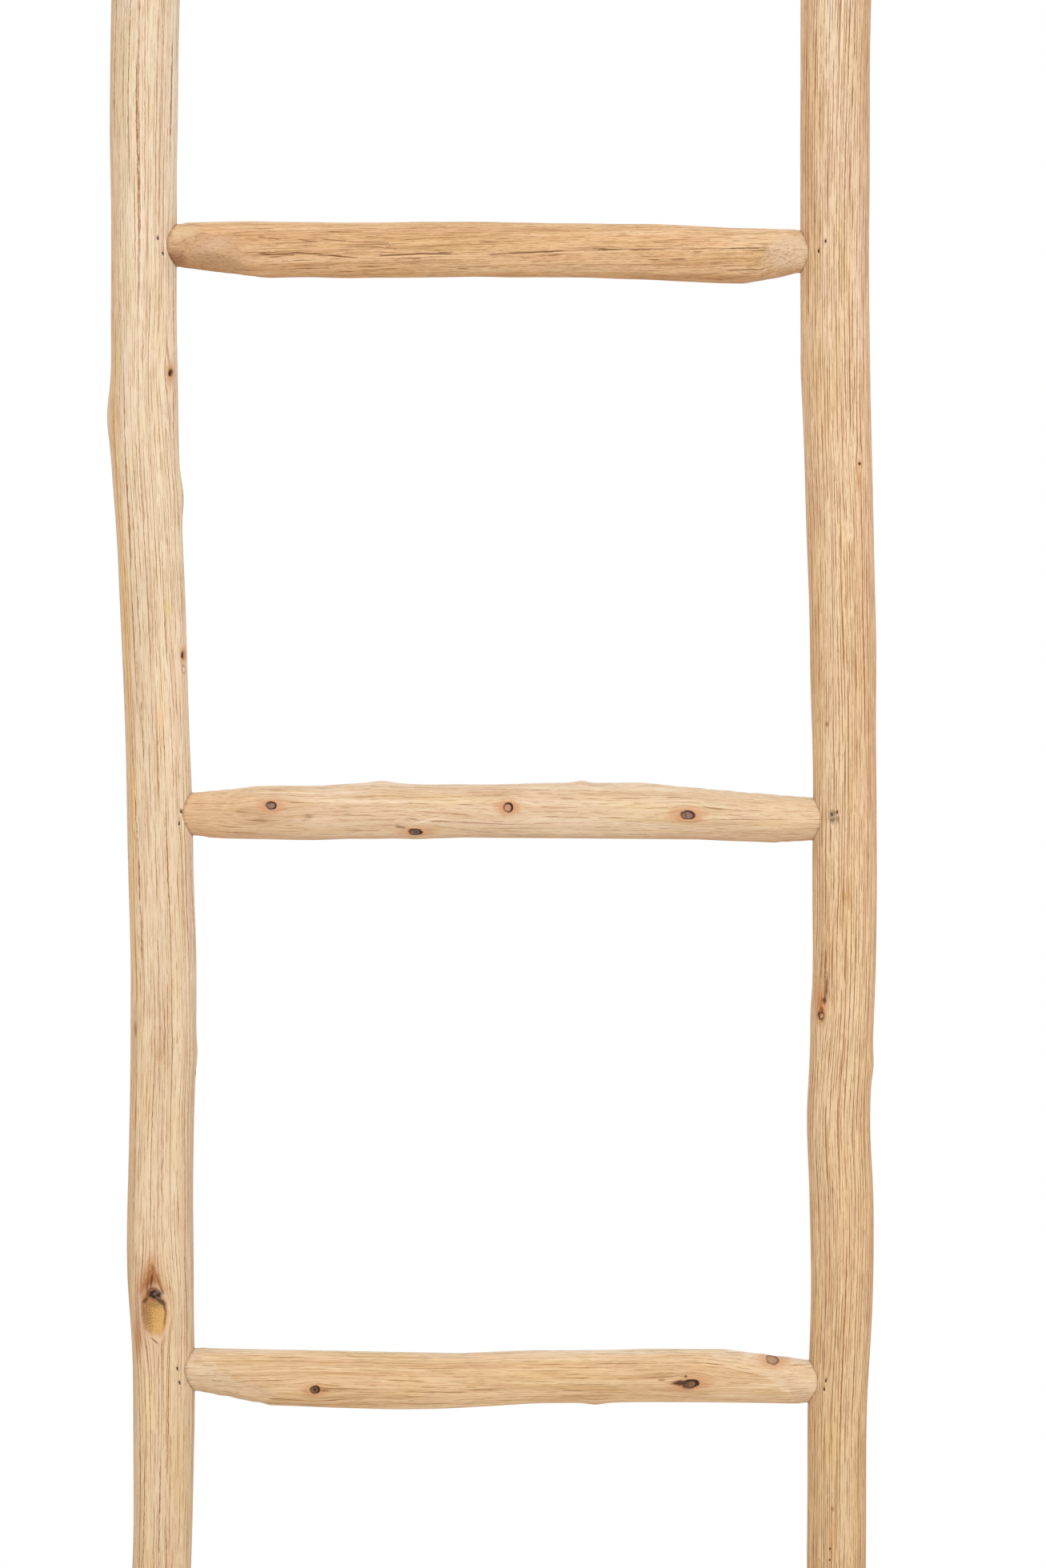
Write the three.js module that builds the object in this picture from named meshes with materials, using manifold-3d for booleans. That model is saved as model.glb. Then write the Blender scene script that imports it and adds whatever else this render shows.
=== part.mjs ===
import * as THREE from 'three';
import { mergeVertices } from 'three/addons/utils/BufferGeometryUtils.js';
import Module from 'manifold-3d';

// A rustic decorative ladder of peeled branches. Millimetres, +Z up, the front looks along -Y.
// Each rung's ends are hewn to a taper and plugged into blind sockets drilled in the rails,
// and two brads pin every joint from the front.

const manifold = await Module();
manifold.setup();

// The ladder
const RUNG_PITCH = 365;
const LOWEST_RUNG_HEIGHT = 170;
const RAIL_ABOVE_TOP_RUNG = 170;
const RAIL_SPACING = 444;

// The rails: a mean girth, how far they stray from straight, and how far their girth varies
const RAIL_DIAMETER = 42;
const RAIL_SWAY = 8;
const RAIL_TAPER = 4;
const RAIL_OVALITY = 0.015;

// The rungs
const RUNG_DIAMETER = 35;
const RUNG_SWAY = 5;
const RUNG_SWELL = 2;
const RUNG_OVALITY = 0.02;
const RUNG_TILT_RISE = 5;

// The hewn ends and their sockets
const TENON_DIAMETER = 28;
const TAPER_LENGTH = 62;
const SHOULDER_GAP = 2.5;
const SOCKET_BACK_WALL = 12;
const SOCKET_MOUTH_CUT = 12;
const FIT_GAP = 0.3;

// Swellings over healed side shoots
const KNOT_RISE = 2.6;
const KNOT_REACH = 20;
const KNOT_SPREAD = 0.55;

// Edges eased with a file: the rails' sawn ends and the tenons' tips
const SAWN_EDGE = 2;
const TENON_EDGE = 1.5;

// The brads: flat wire with a narrow head, set below the wood's face
const BRAD_WIDTH = 1.2;
const BRAD_THICKNESS = 1;
const BRAD_HEAD_HEIGHT = 2.2;
const BRAD_HEAD_DEPTH = 1;
const BRAD_POINT_LENGTH = 3;
const BRAD_POINT_THICKNESS = 0.3;
const BRAD_SINK = 0.7;
const WOOD_BEHIND_BRAD = 10;

// How finely the wood is faceted
const RAIL_SIDES = 20;
const RUNG_SIDES = 20;
const SOCKET_SIDES = 20;
const RAIL_RING_STEP = 45;
const RUNG_RING_STEP = 55;
const CLOSEST_RING_STEP = 6;
const HEWN_RINGS = [0.18, 0.36, 0.58, 0.8, 1];

const degrees = THREE.MathUtils.degToRad;

// Bearings round a rail, seen from above: 0 is to the right and 90 to the back
const RIGHT = 0;
const BACK = 90;
const LEFT = 180;
const FRONT = 270;

// Bearings round a rung, seen along it from its right end: 0 is to the back and 90 upwards
const RUNG_BACK = 0;
const RUNG_TOP = 90;
const RUNG_FRONT = 180;
const RUNG_UNDER = 270;

// A rail's rows run from foot to top: share of its length, then sideways and depthways stray as shares
// of RAIL_SWAY, and girth as a share of RAIL_TAPER. A knot has its share of the length and its bearing,
// and its rise and reach as shares of KNOT_RISE and KNOT_REACH.
const leftRail = {
  name: 'left_rail',
  hand: 'left',
  side: -1,
  color: 0xe4c9a8,
  bends: [
    [0, 0.6, 0, -1.1],
    [0.14, 0.45, 0.4, -0.9],
    [0.25, 1.05, -0.1, -0.85],
    [0.3, 1.1, -0.3, -0.35],
    [0.335, 0.85, -0.3, 0.2],
    [0.385, 0.9, -0.1, 0.05],
    [0.415, 1.1, 0, 0.15],
    [0.485, 0.85, 0.2, 0.15],
    [0.54, 0.5, 0.1, -0.05],
    [0.6, -0.05, -0.3, 0.3],
    [0.632, -0.4, -0.4, 0.45],
    [0.695, -0.5, -0.2, 0.15],
    [0.765, -0.5, 0.3, 0.55],
    [0.835, -0.2, 0.4, 0.75],
    [0.92, -0.55, -0.2, 0.9],
    [1, -0.1, 0, 1.1],
  ],
  knots: [
    [0.095, LEFT - 40, 0.8, 0.9],
    [0.2, BACK, 0.7, 0.8],
    [0.33, FRONT, 0.8, 1.1],
    [0.413, RIGHT, 0.35, 0.5],
    [0.53, BACK + 30, 0.8, 0.9],
    [0.614, RIGHT, 0.8, 0.65],
    [0.643, LEFT, 1, 0.95],
    [0.79, BACK - 20, 0.7, 0.9],
    [0.865, FRONT - 35, 0.6, 0.8],
  ],
};

const rightRail = {
  name: 'right_rail',
  hand: 'right',
  side: 1,
  color: 0xdcb285,
  bends: [
    [0, 0.5, -0.2, -1],
    [0.11, 0.05, 0.3, -0.9],
    [0.235, 0.25, 0.4, -0.9],
    [0.28, 0.3, 0.2, -0.85],
    [0.335, 0.7, 0, -0.4],
    [0.36, 0.65, -0.1, -0.1],
    [0.388, 0.4, -0.2, -0.1],
    [0.41, 0.6, -0.2, -0.4],
    [0.445, 0.85, -0.3, -0.2],
    [0.5, 0.9, -0.2, -0.1],
    [0.585, 0.65, 0.1, 0.3],
    [0.655, 0.2, 0.3, 0.7],
    [0.715, 0.1, 0.2, 0.7],
    [0.795, 0.2, -0.2, 0.95],
    [0.89, 0.55, -0.3, 1],
    [1, 0, 0.1, 1.2],
  ],
  knots: [
    [0.07, BACK + 30, 0.7, 0.9],
    [0.17, RIGHT + 20, 0.8, 0.8],
    [0.345, BACK, 0.8, 0.9],
    [0.409, RIGHT, 0.4, 0.5],
    [0.428, LEFT - 20, 0.4, 0.7],
    [0.56, BACK - 30, 0.7, 0.8],
    [0.66, BACK + 50, 0.6, 0.8],
    [0.84, LEFT + 30, 0.8, 0.9],
    [0.945, FRONT + 20, 0.6, 0.8],
  ],
};

// A rung's rows run from its left mouth to its right one: share of the clear span, then upward and
// backward stray as shares of RUNG_SWAY, and girth as a share of RUNG_SWELL. tilt is how far its left and
// right mouths lie above its own height, as shares of RUNG_TILT_RISE. Each end has a round taper and flat
// facets hewn towards a bearing, their lengths being shares of TAPER_LENGTH. A brad's inset and lift are
// shares of the tenon's depth and radius.
const rungs = [
  {
    color: 0xdbb68a,
    tilt: [0.2, -0.4],
    bends: [
      [0, -0.2, 0, 0.6],
      [0.3, -0.7, 0.3, 0.9],
      [0.6, -0.5, 0.2, 0.6],
      [1, 0.1, -0.1, 0.3],
    ],
    knots: [[0.38, RUNG_TOP + 30, 0.5, 0.6], [0.72, RUNG_BACK - 30, 0.6, 0.7]],
    left: {
      round: 0.35,
      facets: [
        [RUNG_UNDER, 0.6],
        [RUNG_FRONT + 35, 0.7],
        [RUNG_FRONT - 30, 0.55],
        [RUNG_TOP, 0.4],
        [RUNG_BACK, 0.7],
      ],
      brads: [[0.4, 0.3], [0.32, -0.4]],
    },
    right: {
      round: 0.35,
      facets: [
        [RUNG_UNDER + 10, 0.5],
        [RUNG_FRONT + 5, 0.6],
        [RUNG_TOP + 20, 0.75],
        [RUNG_BACK + 15, 0.6],
      ],
      brads: [[0.42, 0.4], [0.36, -0.25]],
    },
  },
  {
    color: 0xdfb98c,
    tilt: [0.55, -1],
    bends: [
      [0, -0.6, 0, -0.25],
      [0.16, -1, 0.2, 0],
      [0.26, -1.1, 0.3, 0.05],
      [0.4, -0.9, 0.2, 0.05],
      [0.53, -0.25, 0, -0.35],
      [0.6, 0, -0.1, -0.6],
      [0.76, 0.35, -0.2, -0.6],
      [0.87, 0.55, -0.1, -0.35],
      [1, 0.5, 0, -0.5],
    ],
    knots: [[0.654, RUNG_UNDER, 0.5, 0.35], [0.33, RUNG_BACK, 0.5, 0.6]],
    left: {
      round: 0.35,
      facets: [
        [RUNG_UNDER, 0.34],
        [RUNG_FRONT + 40, 0.5],
        [RUNG_FRONT - 20, 0.6],
        [RUNG_BACK + 10, 0.5],
        [RUNG_BACK - 45, 0.45],
      ],
      brads: [[0.4, 0.05], [0.35, -0.6]],
    },
    right: {
      round: 0.35,
      facets: [
        [RUNG_TOP, 0.55],
        [RUNG_FRONT - 45, 0.65],
        [RUNG_FRONT + 25, 0.45],
        [RUNG_UNDER, 0.3],
        [RUNG_BACK, 0.6],
      ],
      brads: [[0.42, 0.05], [0.38, -0.35]],
    },
  },
  {
    color: 0xe1c09b,
    tilt: [-0.25, -0.9],
    bends: [
      [0, 0.3, 0, -0.7],
      [0.15, 0.28, -0.1, -0.3],
      [0.21, 0.27, -0.2, -0.05],
      [0.27, 0.55, -0.3, 0.2],
      [0.4, 0.6, -0.3, -0.35],
      [0.5, 0.8, -0.2, -0.8],
      [0.63, 0.95, 0, -0.1],
      [0.73, 1, 0.1, -0.35],
      [0.83, 0.6, 0.1, -0.6],
      [1, 0.1, 0, -0.8],
    ],
    knots: [
      [0.305, RUNG_TOP, 0.6, 0.45],
      [0.36, RUNG_UNDER - 30, 0.35, 0.5],
      [0.627, RUNG_TOP, 0.45, 0.25],
      [0.8, RUNG_FRONT, 0.3, 0.4],
    ],
    left: { round: 0.5, facets: [[RUNG_TOP + 15, 0.52]], brads: [[0.28, -0.45], [0.24, 0.1]] },
    right: { round: 0.7, facets: [[RUNG_UNDER - 20, 0.5]], brads: [[0.42, 0.2], [0.54, 0.3]] },
  },
  {
    color: 0xd8ab78,
    tilt: [0.65, -0.15],
    bends: [
      [0, -0.55, 0, 0.9],
      [0.25, -0.4, 0.3, 0.9],
      [0.5, -0.15, 0.3, 0.7],
      [0.675, -0.15, 0.1, 0.5],
      [0.78, -0.3, 0, 0.95],
      [0.88, -0.6, 0, 0.95],
      [1, -0.7, 0, 0.95],
    ],
    knots: [[0.57, RUNG_BACK + 20, 0.5, 0.6]],
    left: {
      round: 0.3,
      facets: [
        [RUNG_UNDER, 0.62],
        [RUNG_FRONT + 42, 0.6],
        [RUNG_FRONT - 20, 0.5],
        [RUNG_BACK + 20, 0.55],
        [RUNG_BACK - 40, 0.8],
      ],
      brads: [[0.4, 0.3], [0.29, -0.4]],
    },
    right: {
      round: 0.25,
      facets: [
        [RUNG_UNDER - 8, 0.38],
        [RUNG_FRONT + 15, 0.4],
        [RUNG_FRONT - 35, 0.35],
        [RUNG_BACK, 0.5],
        [RUNG_BACK - 45, 0.6],
      ],
      brads: [[0.5, 0.45], [0.36, 0]],
    },
  },
  {
    color: 0xdcb68b,
    tilt: [-0.4, 0.3],
    bends: [
      [0, 0.2, 0, 0.1],
      [0.35, 0.7, 0.2, -0.1],
      [0.7, 0.3, 0.3, -0.4],
      [1, -0.2, 0, -0.5],
    ],
    knots: [[0.22, RUNG_FRONT - 20, 0.45, 0.5], [0.8, RUNG_TOP + 10, 0.5, 0.5]],
    left: {
      round: 0.4,
      facets: [[RUNG_TOP, 0.7], [RUNG_FRONT, 0.6], [RUNG_UNDER, 0.45], [RUNG_BACK - 20, 0.7]],
      brads: [[0.38, 0.4], [0.36, -0.3]],
    },
    right: {
      round: 0.4,
      facets: [[RUNG_UNDER - 25, 0.8], [RUNG_FRONT - 30, 0.55], [RUNG_TOP - 30, 0.4], [RUNG_BACK - 30, 0.6]],
      brads: [[0.4, 0.3], [0.44, -0.45]],
    },
  },
];

const ladderHeight = LOWEST_RUNG_HEIGHT + RUNG_PITCH * (rungs.length - 1) + RAIL_ABOVE_TOP_RUNG;
const tenonRadius = TENON_DIAMETER / 2;
const bradLength = RAIL_DIAMETER - WOOD_BEHIND_BRAD;

// A brad's own frame: its length runs along local X, to the back, with Y upwards and Z to the right
const pointingBack = new THREE.Matrix4().makeBasis(
  new THREE.Vector3(0, 1, 0),
  new THREE.Vector3(0, 0, 1),
  new THREE.Vector3(1, 0, 0),
);

// Returns a function that follows rows of [share, ...values] along a smooth curve
function curveThrough(rows) {
  const shares = rows.map((row) => row[0]);
  const values = rows.flatMap((row) => row.slice(1));
  const curve = new THREE.CubicInterpolant(shares, values, rows[0].length - 1);
  return (share) => Array.from(curve.evaluate(THREE.MathUtils.clamp(share, 0, 1)));
}

// Rise of the surface over healed knots, at a place along a branch and a bearing round it
function knotRise(knots, length, along, bearing) {
  let rise = 0;
  for (const [share, knotBearing, height, reach] of knots) {
    const away = (along - share * length) / (reach * KNOT_REACH);
    const turn = bearing - degrees(knotBearing);
    const round = Math.atan2(Math.sin(turn), Math.cos(turn)) / KNOT_SPREAD;
    rise += height * KNOT_RISE * Math.exp(-away * away - round * round);
  }
  return rise;
}

// Stops along a branch from start to end: even steps, and further ones over its knots
function branchStops(start, end, step, knots, length) {
  const count = Math.max(1, Math.ceil((end - start) / step));
  const stops = Array.from({ length: count + 1 }, (_, i) => start + ((end - start) * i) / count);
  for (const [share, , , reach] of knots) {
    for (const side of [-1, 0, 1]) stops.push(share * length + side * reach * KNOT_REACH);
  }
  return stops;
}

// Sorts the stops between two ends and drops any that crowd another
function spreadStops(start, stops, end) {
  const kept = [start];
  for (const stop of [...stops].sort((a, b) => a - b)) {
    if (stop - kept.at(-1) >= CLOSEST_RING_STEP && end - stop >= CLOSEST_RING_STEP) kept.push(stop);
  }
  return [...kept, end];
}

// A closed skin over rings of points that run up local Z, with a fan on each end
function skin(rings) {
  const sides = rings[0].length;
  const points = rings.flat();
  const index = [];
  for (let ring = 0; ring < rings.length - 1; ring++) {
    for (let side = 0; side < sides; side++) {
      const a = ring * sides + side;
      const b = ring * sides + ((side + 1) % sides);
      index.push(a, b, b + sides, a, b + sides, a + sides);
    }
  }
  const topRing = (rings.length - 1) * sides;
  const footCentre = points.length;
  const topCentre = footCentre + 1;
  points.push(middle(rings[0]), middle(rings.at(-1)));
  for (let side = 0; side < sides; side++) {
    const next = (side + 1) % sides;
    index.push(footCentre, next, side);
    index.push(topCentre, topRing + side, topRing + next);
  }
  const geometry = new THREE.BufferGeometry().setFromPoints(points);
  geometry.setIndex(index);
  return geometry;
}

function middle(ring) {
  const sum = ring.reduce((total, point) => total.add(point), new THREE.Vector3());
  return sum.divideScalar(ring.length);
}

// Rings of a branch: centreAt(stop) gives [x, y], and radiusAt(stop, bearing) the reach from it
function branchRings(stops, sides, centreAt, radiusAt) {
  return stops.map((stop) => {
    const [x, y] = centreAt(stop);
    return Array.from({ length: sides }, (_, side) => {
      const bearing = (2 * Math.PI * side) / sides;
      const radius = radiusAt(stop, bearing);
      return new THREE.Vector3(x + radius * Math.cos(bearing), y + radius * Math.sin(bearing), stop);
    });
  });
}

function solidOf(geometry) {
  const bare = geometry.clone();
  bare.deleteAttribute('normal');
  bare.deleteAttribute('uv');
  const merged = mergeVertices(bare, 1e-4);
  return new manifold.Manifold(new manifold.Mesh({
    numProp: 3,
    vertProperties: new Float32Array(merged.attributes.position.array),
    triVerts: new Uint32Array(merged.index.array),
  }));
}

// Cuts each tool out of a mesh, wherever both of them stand in the ladder
function cut(mesh, tools) {
  mesh.updateWorldMatrix(true, false);
  const toMesh = mesh.matrixWorld.clone().invert();
  let solid = solidOf(mesh.geometry);
  for (const tool of tools) {
    tool.updateWorldMatrix(true, false);
    const toolInMesh = tool.geometry.clone().applyMatrix4(tool.matrixWorld).applyMatrix4(toMesh);
    solid = solid.subtract(solidOf(toolInMesh));
  }
  const result = solid.getMesh();
  mesh.geometry = new THREE.BufferGeometry();
  mesh.geometry.setAttribute('position', new THREE.BufferAttribute(result.vertProperties, 3));
  mesh.geometry.setIndex(new THREE.BufferAttribute(result.triVerts, 1));
  mesh.geometry.computeVertexNormals();
}

function wood(color) {
  return new THREE.MeshStandardMaterial({ color, roughness: 0.72, metalness: 0, flatShading: true });
}

// Where a rail's axis runs and how thick it is, at a height above the floor
function railPath(rail) {
  const follow = curveThrough(rail.bends);
  return (height) => {
    const [sideways, depthways, girth] = follow(height / ladderHeight);
    return {
      x: rail.side * RAIL_SPACING / 2 + sideways * RAIL_SWAY,
      y: depthways * RAIL_SWAY,
      radius: (RAIL_DIAMETER + girth * RAIL_TAPER) / 2,
    };
  };
}

// How far a rail's face lies from its axis: oval, swollen over its knots, eased at its sawn ends
function railRadius(rail, height, bearing) {
  const oval = 1 + RAIL_OVALITY * Math.sin(2 * bearing);
  const eased = Math.max(0, SAWN_EDGE - height, SAWN_EDGE - (ladderHeight - height));
  return rail.pathAt(height).radius * oval + knotRise(rail.knots, ladderHeight, height, bearing) - eased;
}

function makeRail(rail) {
  const between = branchStops(0, ladderHeight, RAIL_RING_STEP, rail.knots, ladderHeight);
  const stops = [0, ...spreadStops(SAWN_EDGE, between, ladderHeight - SAWN_EDGE), ladderHeight];
  const centreAt = (height) => [rail.pathAt(height).x, rail.pathAt(height).y];
  const radiusAt = (height, bearing) => railRadius(rail, height, bearing);
  const mesh = new THREE.Mesh(skin(branchRings(stops, RAIL_SIDES, centreAt, radiusAt)), wood(rail.color));
  mesh.name = rail.name;
  return mesh;
}

// Reach of a hewn end from the rung's straight axis, at a distance out of its mouth
function endReach(end, poleRadius, out, bearing) {
  const steepness = (poleRadius - tenonRadius) / TAPER_LENGTH;
  let reach = tenonRadius + Math.max(0, out - SHOULDER_GAP) * steepness / end.round;
  for (const [facing, length] of end.facets) {
    const lean = Math.cos(bearing - degrees(facing));
    const facet = tenonRadius + out * steepness / length;
    if (lean > 0) reach = Math.min(reach, facet / lean);
  }
  return Math.max(reach, tenonRadius);
}

// A peeled branch between two mouths, hewn down to a round tenon past each of them
function rungGeometry(rung, span, leftDepth, rightDepth) {
  const follow = curveThrough(rung.bends);
  const radiusAt = (along, bearing) => {
    const [up, back, girth] = follow(along / span);
    const across = (back * Math.sin(bearing) - up * Math.cos(bearing)) * RUNG_SWAY;
    const towards = (back * Math.cos(bearing) + up * Math.sin(bearing)) * RUNG_SWAY;
    const oval = 1 + RUNG_OVALITY * Math.cos(2 * (bearing - degrees(rung.knots[0][1])));
    const radius = (RUNG_DIAMETER + girth * RUNG_SWELL) / 2 * oval;
    const pole = towards + Math.sqrt(radius ** 2 - across ** 2) + knotRise(rung.knots, span, along, bearing);
    const tip = Math.min(along + leftDepth, span + rightDepth - along);
    if (along <= 0 || along >= span) return tenonRadius - Math.max(0, TENON_EDGE - tip);
    const leftReach = endReach(rung.left, radius, along, bearing);
    const rightReach = endReach(rung.right, radius, span - along, bearing);
    return Math.min(pole, leftReach, rightReach);
  };
  const hewn = HEWN_RINGS.map((share) => share * TAPER_LENGTH);
  const between = [
    ...hewn,
    ...branchStops(TAPER_LENGTH, span - TAPER_LENGTH, RUNG_RING_STEP, rung.knots, span),
    ...hewn.map((out) => span - out),
  ];
  const stops = [
    -leftDepth,
    TENON_EDGE - leftDepth,
    0,
    ...spreadStops(SHOULDER_GAP, between, span - SHOULDER_GAP),
    span,
    span + rightDepth - TENON_EDGE,
    span + rightDepth,
  ];
  return skin(branchRings(stops, RUNG_SIDES, () => [0, 0], radiusAt));
}

// A brad lies along local X from its head at 0 to its point, with its head's height along Y and its
// width along Z. Its slot is the same form grown all round, and reaching headRoom out past the head.
function bradGeometry(grow, headRoom) {
  const neck = BRAD_HEAD_DEPTH + grow;
  const tip = bradLength + grow;
  const upperHalf = [
    [-headRoom, BRAD_HEAD_HEIGHT / 2 + grow],
    [neck, BRAD_HEAD_HEIGHT / 2 + grow],
    [neck, BRAD_THICKNESS / 2 + grow],
    [tip - BRAD_POINT_LENGTH, BRAD_THICKNESS / 2 + grow],
    [tip, BRAD_POINT_THICKNESS / 2 + grow],
  ];
  const lowerHalf = upperHalf.map(([x, y]) => [x, -y]).reverse();
  const outline = new THREE.Shape([...upperHalf, ...lowerHalf].map(([x, y]) => new THREE.Vector2(x, y)));
  const width = BRAD_WIDTH + 2 * grow;
  const geometry = new THREE.ExtrudeGeometry(outline, { depth: width, bevelEnabled: false });
  return geometry.translate(0, 0, -width / 2);
}

const steel = new THREE.MeshStandardMaterial({ color: 0x4a4038, roughness: 0.5, metalness: 0.85 });

// A brad driven from the front at a place beside a mouth, set BRAD_SINK below the rail's face
function makeBrad(joint, [inset, lift]) {
  const height = joint.mouth.z + lift * tenonRadius;
  const x = joint.mouth.x + joint.side * inset * joint.depth;
  const { x: axis, y, radius } = joint.pathAt(height);
  const chord = Math.sqrt(radius ** 2 - (x - axis) ** 2);
  const brad = new THREE.Mesh(bradGeometry(0, 0), steel);
  brad.applyMatrix4(pointingBack);
  brad.position.set(x, y - chord + BRAD_SINK, height);
  brad.updateMatrix();
  return brad;
}

// The slot that a brad cuts, with FIT_GAP all round and open at the rail's face
function bradSlot(brad) {
  const slot = new THREE.Mesh(bradGeometry(FIT_GAP, SOCKET_MOUTH_CUT));
  slot.applyMatrix4(brad.matrix);
  return slot;
}

// The drill for a socket, running from its mouth down the rung's axis into a rail
function socketDrill(rungMesh, from, to) {
  const radius = (tenonRadius + FIT_GAP) / Math.cos(Math.PI / SOCKET_SIDES);
  const drill = new THREE.CylinderGeometry(radius, radius, to - from, SOCKET_SIDES);
  drill.rotateX(Math.PI / 2).translate(0, 0, (from + to) / 2);
  return new THREE.Mesh(drill.applyMatrix4(rungMesh.matrix));
}

// A rung's mesh, its length running along local Z from its left mouth to its right one
function makeRung(rung, name, left, right) {
  const span = left.mouth.distanceTo(right.mouth);
  const mesh = new THREE.Mesh(rungGeometry(rung, span, left.depth, right.depth), wood(rung.color));
  const along = right.mouth.clone().sub(left.mouth).normalize();
  const back = new THREE.Vector3(0, 0, 1).cross(along).normalize();
  mesh.applyMatrix4(new THREE.Matrix4().makeBasis(back, along.clone().cross(back), along));
  mesh.position.copy(left.mouth);
  mesh.updateMatrix();
  mesh.name = name;
  left.drills.push(socketDrill(mesh, -left.depth - FIT_GAP, SOCKET_MOUTH_CUT));
  right.drills.push(socketDrill(mesh, span - SOCKET_MOUTH_CUT, span + right.depth + FIT_GAP));
  return mesh;
}

// One end of a rung: the rail that holds it, where its mouth is, and how deep its tenon stands
function jointOn(rail, side, height) {
  const { x, y, radius } = rail.pathAt(height);
  const mouth = new THREE.Vector3(x - rail.side * radius, y, height);
  return { ...rail, mouth, brads: side.brads, depth: 2 * radius - SOCKET_BACK_WALL - FIT_GAP };
}

// The two brads of a joint, the higher one first
function makeBrads(joint, number) {
  const places = [...joint.brads].sort((a, b) => b[1] - a[1]);
  return places.map((place, i) => {
    const brad = makeBrad(joint, place);
    brad.name = `brad_${joint.hand}_${number}_${i === 0 ? 'upper' : 'lower'}`;
    return brad;
  });
}

const ladder = new THREE.Group();
const rails = [leftRail, rightRail].map((rail) => ({ ...rail, pathAt: railPath(rail), drills: [] }));
const [left, right] = rails;

rungs.forEach((rung, i) => {
  const height = LOWEST_RUNG_HEIGHT + i * RUNG_PITCH;
  const leftJoint = jointOn(left, rung.left, height + rung.tilt[0] * RUNG_TILT_RISE);
  const rightJoint = jointOn(right, rung.right, height + rung.tilt[1] * RUNG_TILT_RISE);
  const mesh = makeRung(rung, `rung_${i + 1}`, leftJoint, rightJoint);
  const slots = [];
  for (const joint of [leftJoint, rightJoint]) {
    const brads = makeBrads(joint, i + 1);
    const bradSlots = brads.map(bradSlot);
    joint.drills.push(...bradSlots);
    slots.push(...bradSlots);
    ladder.add(...brads);
  }
  cut(mesh, slots);
  ladder.add(mesh);
});

for (const rail of rails) {
  const mesh = makeRail(rail);
  cut(mesh, rail.drills);
  ladder.add(mesh);
}

// The origin is at the floor, midway across the ladder and midway through its depth
const box = new THREE.Box3().setFromObject(ladder, true);
const centre = box.getCenter(new THREE.Vector3());
ladder.position.set(-centre.x, -centre.y, -box.min.z);

export default ladder;
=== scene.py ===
import math
import bpy
import numpy as np
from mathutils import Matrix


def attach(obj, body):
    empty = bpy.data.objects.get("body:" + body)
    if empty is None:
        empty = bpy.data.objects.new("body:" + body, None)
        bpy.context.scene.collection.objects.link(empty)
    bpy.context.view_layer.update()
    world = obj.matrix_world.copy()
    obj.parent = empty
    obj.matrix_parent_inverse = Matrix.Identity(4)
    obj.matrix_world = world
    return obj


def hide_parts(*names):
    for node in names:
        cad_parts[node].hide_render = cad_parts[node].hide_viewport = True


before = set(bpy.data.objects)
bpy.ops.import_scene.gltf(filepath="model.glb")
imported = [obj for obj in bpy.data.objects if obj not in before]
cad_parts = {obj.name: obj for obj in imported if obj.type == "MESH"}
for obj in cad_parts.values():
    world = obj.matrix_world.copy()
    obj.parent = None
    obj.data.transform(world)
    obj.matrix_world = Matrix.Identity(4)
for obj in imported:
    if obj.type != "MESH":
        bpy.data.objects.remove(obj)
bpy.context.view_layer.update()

bpy.context.scene.view_settings.view_transform = "Standard"
mm = 0.001

# The photograph's frame, and where its pixels lie on the ladder
photo = {
    "width": 1307,
    "height": 1960,
    "scale": 0.52,         # millimetres to a pixel
    "axisPixel": 614.5,    # the line midway between the rails
    "levelPixel": 1015,    # the middle rung's level
    "levelHeight": 900,
    "standsOut": 0.8,      # how much of its radius a stick's visible face stands nearer than its axis
    "steepest": 0.4,       # a mark seen aslant is widened by its bearing's cosine, but no more than this allows
}

camera = {"distance": 20000, "sensor": 36, "clipEnd": 100}

studio = {
    "world": 0.76,
    "floor": {"color": (0.86, 0.855, 0.845, 1), "size": 12, "roughness": 0.9, "gloss": 0.1},
    "key": {"strength": 1.0, "angle": 50, "towards": (0.25, -0.75, 0.6)},
    "back": {"strength": 0.35, "angle": 70, "towards": (-0.4, 0.8, 0.5)},
}

screenGamma = 2.2    # the power that turns a ratio of picture tones into one of light


# Where a pixel lies across the ladder and above the floor, on a plane that much nearer than its middle
def photoPlace(pixelX, pixelY, nearer=0):
    x = (pixelX - photo["axisPixel"]) * photo["scale"]
    z = photo["levelHeight"] + (photo["levelPixel"] - pixelY) * photo["scale"]
    if not nearer:
        return x, z
    middleX, middleZ = photoPlace(photo["width"] / 2, photo["height"] / 2)
    pull = nearer / camera["distance"]
    return x + (middleX - x) * pull, z + (middleZ - z) * pull


def addObject(name, data):
    added = bpy.data.objects.new(name, data)
    bpy.context.scene.collection.objects.link(added)
    return added


def makeCamera():
    data = bpy.data.cameras.new("camera")
    data.sensor_width = camera["sensor"]
    data.lens = camera["sensor"] * camera["distance"] / (photo["height"] * photo["scale"])
    data.clip_end = camera["clipEnd"]
    viewer = addObject("camera", data)
    x, z = photoPlace(photo["width"] / 2, photo["height"] / 2)
    viewer.location = (x * mm, -camera["distance"] * mm, z * mm)
    viewer.rotation_euler = (math.radians(90), 0, 0)
    bpy.context.scene.camera = viewer


def makeSun(name, light):
    data = bpy.data.lights.new(name, "SUN")
    data.energy = light["strength"]
    data.angle = math.radians(light["angle"])
    x, y, z = light["towards"]
    addObject(name, data).rotation_euler = (math.atan2(math.hypot(x, y), z), 0, math.atan2(x, -y))


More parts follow.
